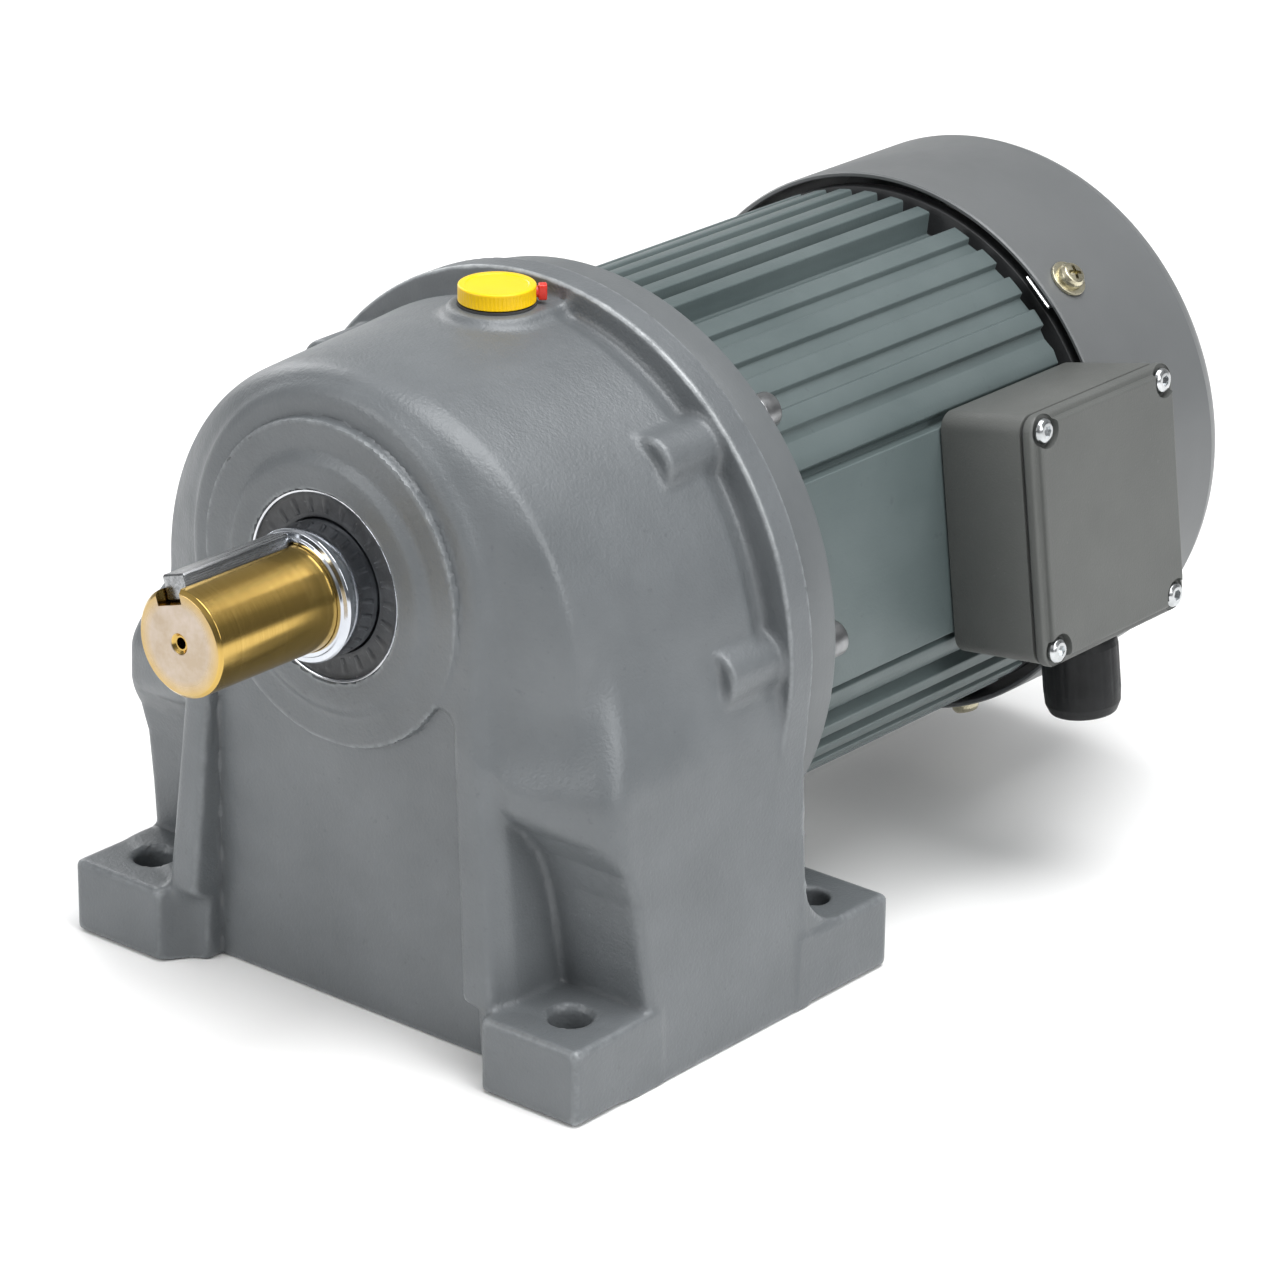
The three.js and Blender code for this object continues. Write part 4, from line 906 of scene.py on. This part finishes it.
v, f = prism_mesh(prof, 104.9, 229.6, [circle(60, 0, MOT_H, 128)], bevel=0.35)
motor = make("finned_motor_frame", v, f, "housing", "frame_paint", 30, ["motor_frame"])
BOXM = Matrix.Translation((0, 202.5 - D0, MOT_H)) @ Matrix.Rotation(-TILT, 4, "Y")
v, f = lathe_mesh([(0, 52), (9, 52), (9, 82), (0, 82)], 0, 0, 48, closed=False)
cut(motor, [temp("c", [(d, a, b) for a, d, b in v], f, BOXM)], "housing", "frame_paint", "frame_paint", 30)

# painted shade: the spigot ring runs out to r 73.6 in near-black plastic so the gap under the fan cover's rim stays
# dark
lathe("frame_spigot_shade_baffle", [(60.1, 229.4), (65.6, 229.4), (65.6, 232.6), (73.6, 233.0), (73.6, 237.7), (60.1, 237.7)], 0, MOT_H, "housing", "fan_plastic", 144, 0.3)

# ------------------------------------------------------------------ fan cover


def bend(p0, p1, p2, p3, n=10):
    return [tuple(sum(c * (1, 3, 3, 1)[i] * (1 - u) ** (3 - i) * u ** i for i, c in enumerate(cs)) for cs in zip(p0, p1, p2, p3)) for u in (k / n for k in range(n + 1))]


arc = bend((77.7, 281), (76.0, 286.5), (73.0, 291.6), (64, 292))
arc_in = bend((64, 290.5), (72.0, 290.2), (74.6, 285.8), (76.2, 281))
coverp = [(77.7, 233.3), (77.7, 246), (77.7, 262)] + arc + [(59.5, 292), (20, 292), (0.0, 292), (0.0, 290.5), (20, 290.5), (59.5, 290.5)] + arc_in + [(76.2, 262), (76.2, 246), (76.2, 233.3), (76.5, 232.9), (77.3, 232.8)]
v, f = lathe_mesh(coverp, 0, MOT_H, 192, closed=True)
cover = make("fan_cover_pressing", v, f, "housing", "cover_paint", 11, ["fan_cover"])
cutters = []
for i in range(12):
    a0, a1 = rad(30 * i + 4), rad(30 * i + 26)
    q = [(20 * math.cos(a0 + 0.12), MOT_H + 20 * math.sin(a0 + 0.12))]
    q += [(58 * math.cos(a0 + (a1 - a0) * k / 10), MOT_H + 58 * math.sin(a0 + (a1 - a0) * k / 10)) for k in range(11)]
    q += [(20 * math.cos(a1 - 0.12), MOT_H + 20 * math.sin(a1 - 0.12))]
    cutters.append(temp("c", *prism_mesh(fillet(q, [1.6] + [2.5] + [0] * 9 + [2.5] + [1.6], n=4), 288, 295)))
SCREWS = (42.7, 162.7, 282.7)


def radial(deg, d):
    """Local axes for a piece that points outwards: local d is radius, local x is along the motor."""
    a = rad(deg)
    out = Vector((math.sin(a), 0, math.cos(a)))
    along = Vector((0, 1, 0))
    side = out.cross(along) * -1
    m = Matrix.Identity(4)
    for k, col in enumerate((along, out, side)):
        m.col[k] = (*col, 0)
    m.col[3] = (0, d - D0, MOT_H, 1)
    return m


for deg in SCREWS:
    v, f = lathe_mesh([(0, 66), (2.4, 66), (2.4, 82), (0, 82)], 0, 0, 24, closed=False)
    cutters.append(temp("c", v, f, radial(deg, 243.4)))
cut(cover, cutters, "housing", "cover_paint", "cover_paint", 11)
for i, deg in enumerate(SCREWS):
    m = radial(deg, 243.4)
    v, f = lathe_mesh(fillet([(0, 64), (1.9, 64), (1.9, 78.15), (3.9, 78.15), (3.9, 79.3), (3.8, 80.4), (3.1, 81.4), (0, 81.8)], [0, 0.3, 0.1, 0.1, 0.2, 0.5, 0.6, 0], closed=False, n=4), 0, 0, 64, closed=False)
    o = make(f"fan_cover_bolt_{i + 1}", v, f, "housing", "screw_zinc", replaces=[f"fan_cover_screw_{i + 1}"], matrix=m)
    cr = []
    for turn in (0.35, 0.35 + math.pi / 2):
        c, s = math.cos(turn), math.sin(turn)
        bx = [(-2.1, 80.2, -0.42), (2.1, 80.2, -0.42), (2.1, 80.2, 0.42), (-2.1, 80.2, 0.42), (-2.3, 83, -0.6), (2.3, 83, -0.6), (2.3, 83, 0.6), (-2.3, 83, 0.6)]
        bv = [(p[0] * c - p[2] * s, p[1], p[0] * s + p[2] * c) for p in bx]
        cr.append(temp("c", bv, [(0, 1, 2, 3), (7, 6, 5, 4), (0, 4, 5, 1), (1, 5, 6, 2), (2, 6, 7, 3), (3, 7, 4, 0)], m))
    cut(o, cr, "housing", "screw_zinc", "screw_zinc")
    v, f = lathe_mesh(fillet([(2.0, 77.75), (5.4, 77.75), (5.4, 78.75), (2.0, 78.75)], 0.2), 0, 0, 64)
    make(f"fan_cover_washer_{i + 1}", v, f, "housing", "screw_zinc", matrix=m)

    if i == 0:
        # folded sheet nut that the first screw pulls against, its lip showing at the rim
        side = [(229.9, 77.3), (230.3, 77.6), (232.0, 76.0), (248.0, 76.0), (248.0, 75.3), (231.8, 75.3)]
        cv, cf = prism_mesh([(a2 - 243.4, b2) for a2, b2 in side], -5.2, 5.2, bevel=0.12)
        cl = make("fan_cover_clip", [(a2, b2, w2) for a2, w2, b2 in cv], cf, "housing", "screw_bright", matrix=m)
        v2, f2 = lathe_mesh([(0, 66), (2.3, 66), (2.3, 82), (0, 82)], 0, 0, 24, closed=False)
        cut(cl, [temp("c", v2, f2, m)], "housing", "screw_bright", None)

# ------------------------------------------------------------------ terminal box, in its own tilted axes (x out, y along, z up)


def rrect(w, h, r, n=6):
    pts = []
    for sx, sz, a0 in ((1, 1, 0), (-1, 1, 90), (-1, -1, 180), (1, -1, 270)):
        for i in range(n + 1):
            a = rad(a0 + 90 * i / n)
            pts.append((sx * (w / 2 - r) + r * math.cos(a), sz * (h / 2 - r) + r * math.sin(a)))
    return pts


def stack(levels, n=6):
    """levels: (x, width, height, corner radius)."""
    verts, faces = [], []
    rings = []
    for lv in levels:
        x, w, h, r = lv[:4]
        cy, cz = lv[4:] if len(lv) > 4 else (0, 0)
        ring = [(a + cy, b + cz) for a, b in rrect(w, h, r, n)]
        rings.append(list(range(len(verts), len(verts) + len(ring))))
        verts += [(x, a, b) for a, b in ring]
    m = len(rings[0])
    for a, b in zip(rings, rings[1:]):
        for i in range(m):
            j = (i + 1) % m
            faces.append((a[i], a[j], b[j], b[i]))
    faces.append(tuple(reversed(rings[0])))
    faces.append(tuple(rings[-1]))
    return verts, faces


def edge_levels(x0, w0, h0, x1, w1, h1, r, e, c0=(0, 0), c1=(0, 0)):
    """A tapered block with rounded rims."""
    lv = [(x0, w0 - 2 * e, h0 - 2 * e, max(0.4, r - e), *c0), (x0 + e * 0.3, w0 - 0.6 * e, h0 - 0.6 * e, r - 0.3 * e, *c0), (x0 + e, w0, h0, r, *c0)]
    lv += [(x1 - e, w1, h1, r, *c1), (x1 - e * 0.3, w1 - 0.6 * e, h1 - 0.6 * e, r - 0.3 * e, *c1), (x1, w1 - 2 * e, h1 - 2 * e, max(0.4, r - e), *c1)]
    return lv


def local_rod(r, x0, x1, y, z, seg=40):
    v, f = lathe_mesh([(0, x0), (r, x0), (r, x1), (0, x1)], y, z, seg, closed=False)
    return [(d, a, b) for a, d, b in v], f


v, f = stack(edge_levels(68.4, 60, 66.4, 94.4, 63.0, 68.2, 4.8, 0.6, (-0.9, -1.1), (0.6, -0.3)), 8)
box = make("terminal_box_casting", v, f, "housing", "box_paint", 30, ["terminal_box_body"], matrix=BOXM)
v1, f1 = stack([(71.4, 51, 56, 3), (96, 53.2, 59.2, 3)])
down, df_ = lathe_mesh([(0, -45), (6.8, -45), (6.8, -20), (0, -20)], 86.5, 0, 40, closed=False)
cut(box, [temp("c", v1, f1, BOXM), temp("c", [(a, b, d) for a, d, b in down], df_, BOXM), temp("c", *local_rod(8, 60, 75, 0, 0), matrix=BOXM)],
    "housing", "box_paint", "box_paint", 30)
v, f = stack([(94.7, 61.6, 66.8, 4, 0.6, -0.3), (95.3, 61.6, 66.8, 4, 0.6, -0.3)], 8)
gs = make("terminal_box_seal", v, f, "housing", "gasket_rubber", 30, ["terminal_box_gasket"], matrix=BOXM)
v1, f1 = stack([(94, 51, 57, 3), (96, 51, 57, 3)])
cut(gs, [temp("c", v1, f1, BOXM)], "housing", "gasket_rubber", "gasket_rubber", 30)
lv = [(95.6, 59.2, 65.4, 4.4), (95.8, 59.6, 65.8, 4.6), (97.6, 59.6, 65.8, 4.6), (98.0, 59.1, 65.3, 4.4), (98.25, 58.3, 64.5, 4.0), (98.35, 57.0, 63.2, 3.6),
      (98.45, 56.0, 62.2, 3.3), (98.8, 55.5, 61.7, 3.1), (99.5, 55.3, 61.5, 3.0), (99.85, 54.8, 61.0, 2.8), (100.0, 54.0, 60.2, 2.5)]
lv = [(x, w + 4.2, h + 2.8, r, 0.7, -0.3) for x, w, h, r in lv]
v, f = stack(lv, 8)
lid = make("terminal_box_lid", v, f, "housing", "box_paint", 36, ["terminal_box_cover"], matrix=BOXM)
cutters = []
for sy in (-1, 1):
    for sz in (-1, 1):
        v1, f1 = lathe_mesh([(0, 97.5), (4.2, 97.5), (4.5, 97.8), (4.7, 101), (0, 101)], sy * 26.6 + 0.7, sz * 29.9 - 0.3, 48, closed=False)
        cutters.append(temp("c", [(d, a, b) for a, d, b in v1], f1, BOXM))
        cutters.append(temp("c", *local_rod(2.3, 90, 99, sy * 26.6 + 0.7, sz * 29.9 - 0.3, 24), matrix=BOXM))
cut(lid, cutters, "housing", "box_paint", "box_paint", 36)
k = 0
for sy in (-1, 1):
    for sz in (-1, 1):
        k += 1
        prof = fillet([(0, 82), (1.8, 82), (1.8, 97.9), (3.4, 97.9), (3.4, 98.6), (3.1, 99.4), (2.2, 99.9), (0, 99.95)], [0, 0.2, 0.1, 0.1, 0.2, 0.6, 0.3, 0], closed=False, n=4)
        v, f = lathe_mesh(prof, sy * 26.6 + 0.7, sz * 29.9 - 0.3, 56, closed=False)
        o = make(f"terminal_box_bolt_{k}", [(d, a, b) for a, d, b in v], f, "housing", "screw_bright", replaces=[f"terminal_box_screw_{k}"], matrix=BOXM)
        v, f = hexrod(1.55, 98.9, 101, sy * 26.6 + 0.7, sz * 29.9 - 0.3, 0.2 * k)
        cut(o, [temp("c", [(d, a, b) for a, d, b in v], f, BOXM)], "housing", "screw_bright", "screw_bright")


# ------------------------------------------------------------------ cable gland


def grip(i, r, d, a):
    if r > 10.2 and -51 < d < -35:
        return r - 0.12 * (1 - abs(math.cos(a * 9))) ** 2, d
    return r, d


gp = fillet([(5, -54.6), (6.5, -57.4), (9, -56.6), (10.2, -53.8), (10.5, -49.9), (10.5, -48), (10.5, -44), (10.5, -37.7), (10.1, -36.2), (9.4, -34.6), (6.4, -34.6), (6.4, -22.5), (5, -22.5)],
            [0.5, 1.2, 1.6, 1.2, 0.3, 0, 0, 0.2, 0.5, 0.5, 0.1, 0.2, 0.2], n=4)
v, f = lathe_mesh(gp, 86.5, 0, 144, mod=grip)
make("cable_gland_body", [(a, b, d) for a, d, b in v], f, "housing", "gland_plastic", 30, ["cable_gland"], matrix=BOXM)

# ------------------------------------------------------------------ finishes for the CAD nodes that stay
KEEP = {
    "output_gear_key": "key_steel", "output_front_bearing_inner_ring": "bearing_steel", "output_front_bearing_outer_ring": "bearing_steel",
    "output_rear_bearing_inner_ring": "bearing_steel", "output_rear_bearing_outer_ring": "bearing_steel", "output_gear": "gear_steel",
    "intermediate_shaft": "gear_steel", "intermediate_gear": "gear_steel", "intermediate_gear_key": "key_steel",
    "intermediate_needle_bearing": "bearing_steel", "intermediate_rear_bearing_inner_ring": "bearing_steel",
    "intermediate_rear_bearing_outer_ring": "bearing_steel", "bearing_bridge": "raw_casting", "rotor_shaft": "bearing_steel",
    "rotor_core": "lamination_steel", "stator_core": "lamination_steel", "stator_winding_front": "winding_copper",
    "stator_winding_rear": "winding_copper", "motor_oil_seal": "seal_rubber", "motor_front_bearing_inner_ring": "bearing_steel",
    "motor_front_bearing_outer_ring": "bearing_steel", "motor_rear_bearing_inner_ring": "bearing_steel",
    "motor_rear_bearing_outer_ring": "bearing_steel", "wave_washer": "key_steel", "rear_end_shield": "raw_casting",
    "cooling_fan": "fan_plastic", "fan_circlip": "key_steel", "terminal_block": "block_plastic", "cable_gland_nut": "gland_plastic",
}
for name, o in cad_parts.items():
    if o.hide_render:
        continue
    o.data.materials.clear()
    o.data.materials.append(MAT[KEEP.get(name, "screw_steel")])

# ------------------------------------------------------------------ studio
scene = bpy.context.scene
scene.view_settings.view_transform = "Standard"
scene.view_settings.look = "None"
world = bpy.data.worlds.new("studio")
scene.world = world
world.use_nodes = True
bg = world.node_tree.nodes.get("Background")
bg.inputs[1].default_value = 0.55
wt = world.node_tree
wc = wt.nodes.new("ShaderNodeTexCoord")
ws = wt.nodes.new("ShaderNodeSeparateXYZ")
wr = wt.nodes.new("ShaderNodeValToRGB")
wt.links.new(wc.outputs["Generated"], ws.inputs[0])
wt.links.new(ws.outputs[2], wr.inputs[0])
wt.links.new(wr.outputs[0], bg.inputs[0])
wr.color_ramp.elements[0].position, wr.color_ramp.elements[0].color = 0.0, (0.28, 0.29, 0.30, 1)
wr.color_ramp.elements[1].position, wr.color_ramp.elements[1].color = 1.0, (0.95, 0.96, 1.0, 1)
e = wr.color_ramp.elements.new(0.42)
e.color = (0.42, 0.43, 0.44, 1)
e = wr.color_ramp.elements.new(0.62)
e.color = (1.0, 1.0, 1.0, 1)

fm, ft, fb = nodes_of("studio_floor")
fb.inputs["Base Color"].default_value = (0.93, 0.93, 0.925, 1)
fb.inputs["Roughness"].default_value = 0.9
me = bpy.data.meshes.new("studio_floor")
S = 9.0
sw = [(-S, -S, 0), (S, -S, 0)]
verts, faces = [], []
# a floor that curves up into a backdrop behind the motor
path = [(-S, 0.0), (2.2, 0.0)] + [(2.2 + 1.2 * math.sin(rad(t)), 1.2 * (1 - math.cos(rad(t)))) for t in range(6, 91, 6)] + [(3.4, 6.0)]
az = rad(39.92)
fwd, side = Vector((-math.sin(az), math.cos(az), 0)), Vector((math.cos(az), math.sin(az), 0))
for u, h in path:
    for s in (-1, 1):
        p = fwd * u + side * (S * s)
        verts.append((p.x, p.y, h - 0.0002))
for i in range(len(path) - 1):
    faces.append((2 * i, 2 * i + 1, 2 * i + 3, 2 * i + 2))
me.from_pydata(verts, [], faces)
floor = bpy.data.objects.new("studio_floor", me)
scene.collection.objects.link(floor)
me.materials.append(fm)
for p in me.polygons:
    p.use_smooth = True


def area(name, at, to, size, power, color=(1, 1, 1)):
    l = bpy.data.lights.new(name, "AREA")
    l.shape = "RECTANGLE"
    l.size, l.size_y = size
    l.energy = power
    l.color = color
    o = bpy.data.objects.new(name, l)
    scene.collection.objects.link(o)
    o.location = at
    o.rotation_euler = (Vector(to) - Vector(at)).to_track_quat("-Z", "Y").to_euler()
    return o


area("top_softbox", (0.35, 0.1, 1.5), (0, 0.05, 0.08), (1.2, 1.0), 25)
area("right_softbox", (1.35, -0.1, 0.85), (0.03, 0.05, 0.1), (0.7, 0.9), 9)
area("front_softbox", (-0.55, -1.35, 0.75), (0, -0.02, 0.1), (0.8, 0.7), 8)
area("left_rim", (-1.2, 0.5, 0.7), (0, 0.05, 0.1), (0.5, 0.9), 5)

cam = bpy.data.cameras.new("camera")
cam.lens = 146.8
cam.sensor_width = 36
cam.clip_end = 50
co = bpy.data.objects.new("camera", cam)
scene.collection.objects.link(co)
C, T = Vector((831.7, -929.2, 593.7)) * MM, Vector((14.18, 47.73, 76.71)) * MM
back = (C - T).normalized()
right = Vector((math.cos(rad(39.92)), math.sin(rad(39.92)), 0))
up = back.cross(right).normalized()
right = up.cross(back).normalized()
roll = rad(0.6)
r2 = right * math.cos(roll) + up * math.sin(roll)
u2 = up * math.cos(roll) - right * math.sin(roll)
m = Matrix.Identity(4)
for kx, col in enumerate((r2, u2, back)):
    m.col[kx] = (*col, 0)
m.col[3] = (*C, 1)
co.matrix_world = m
scene.camera = co

bpy.context.view_layer.update()
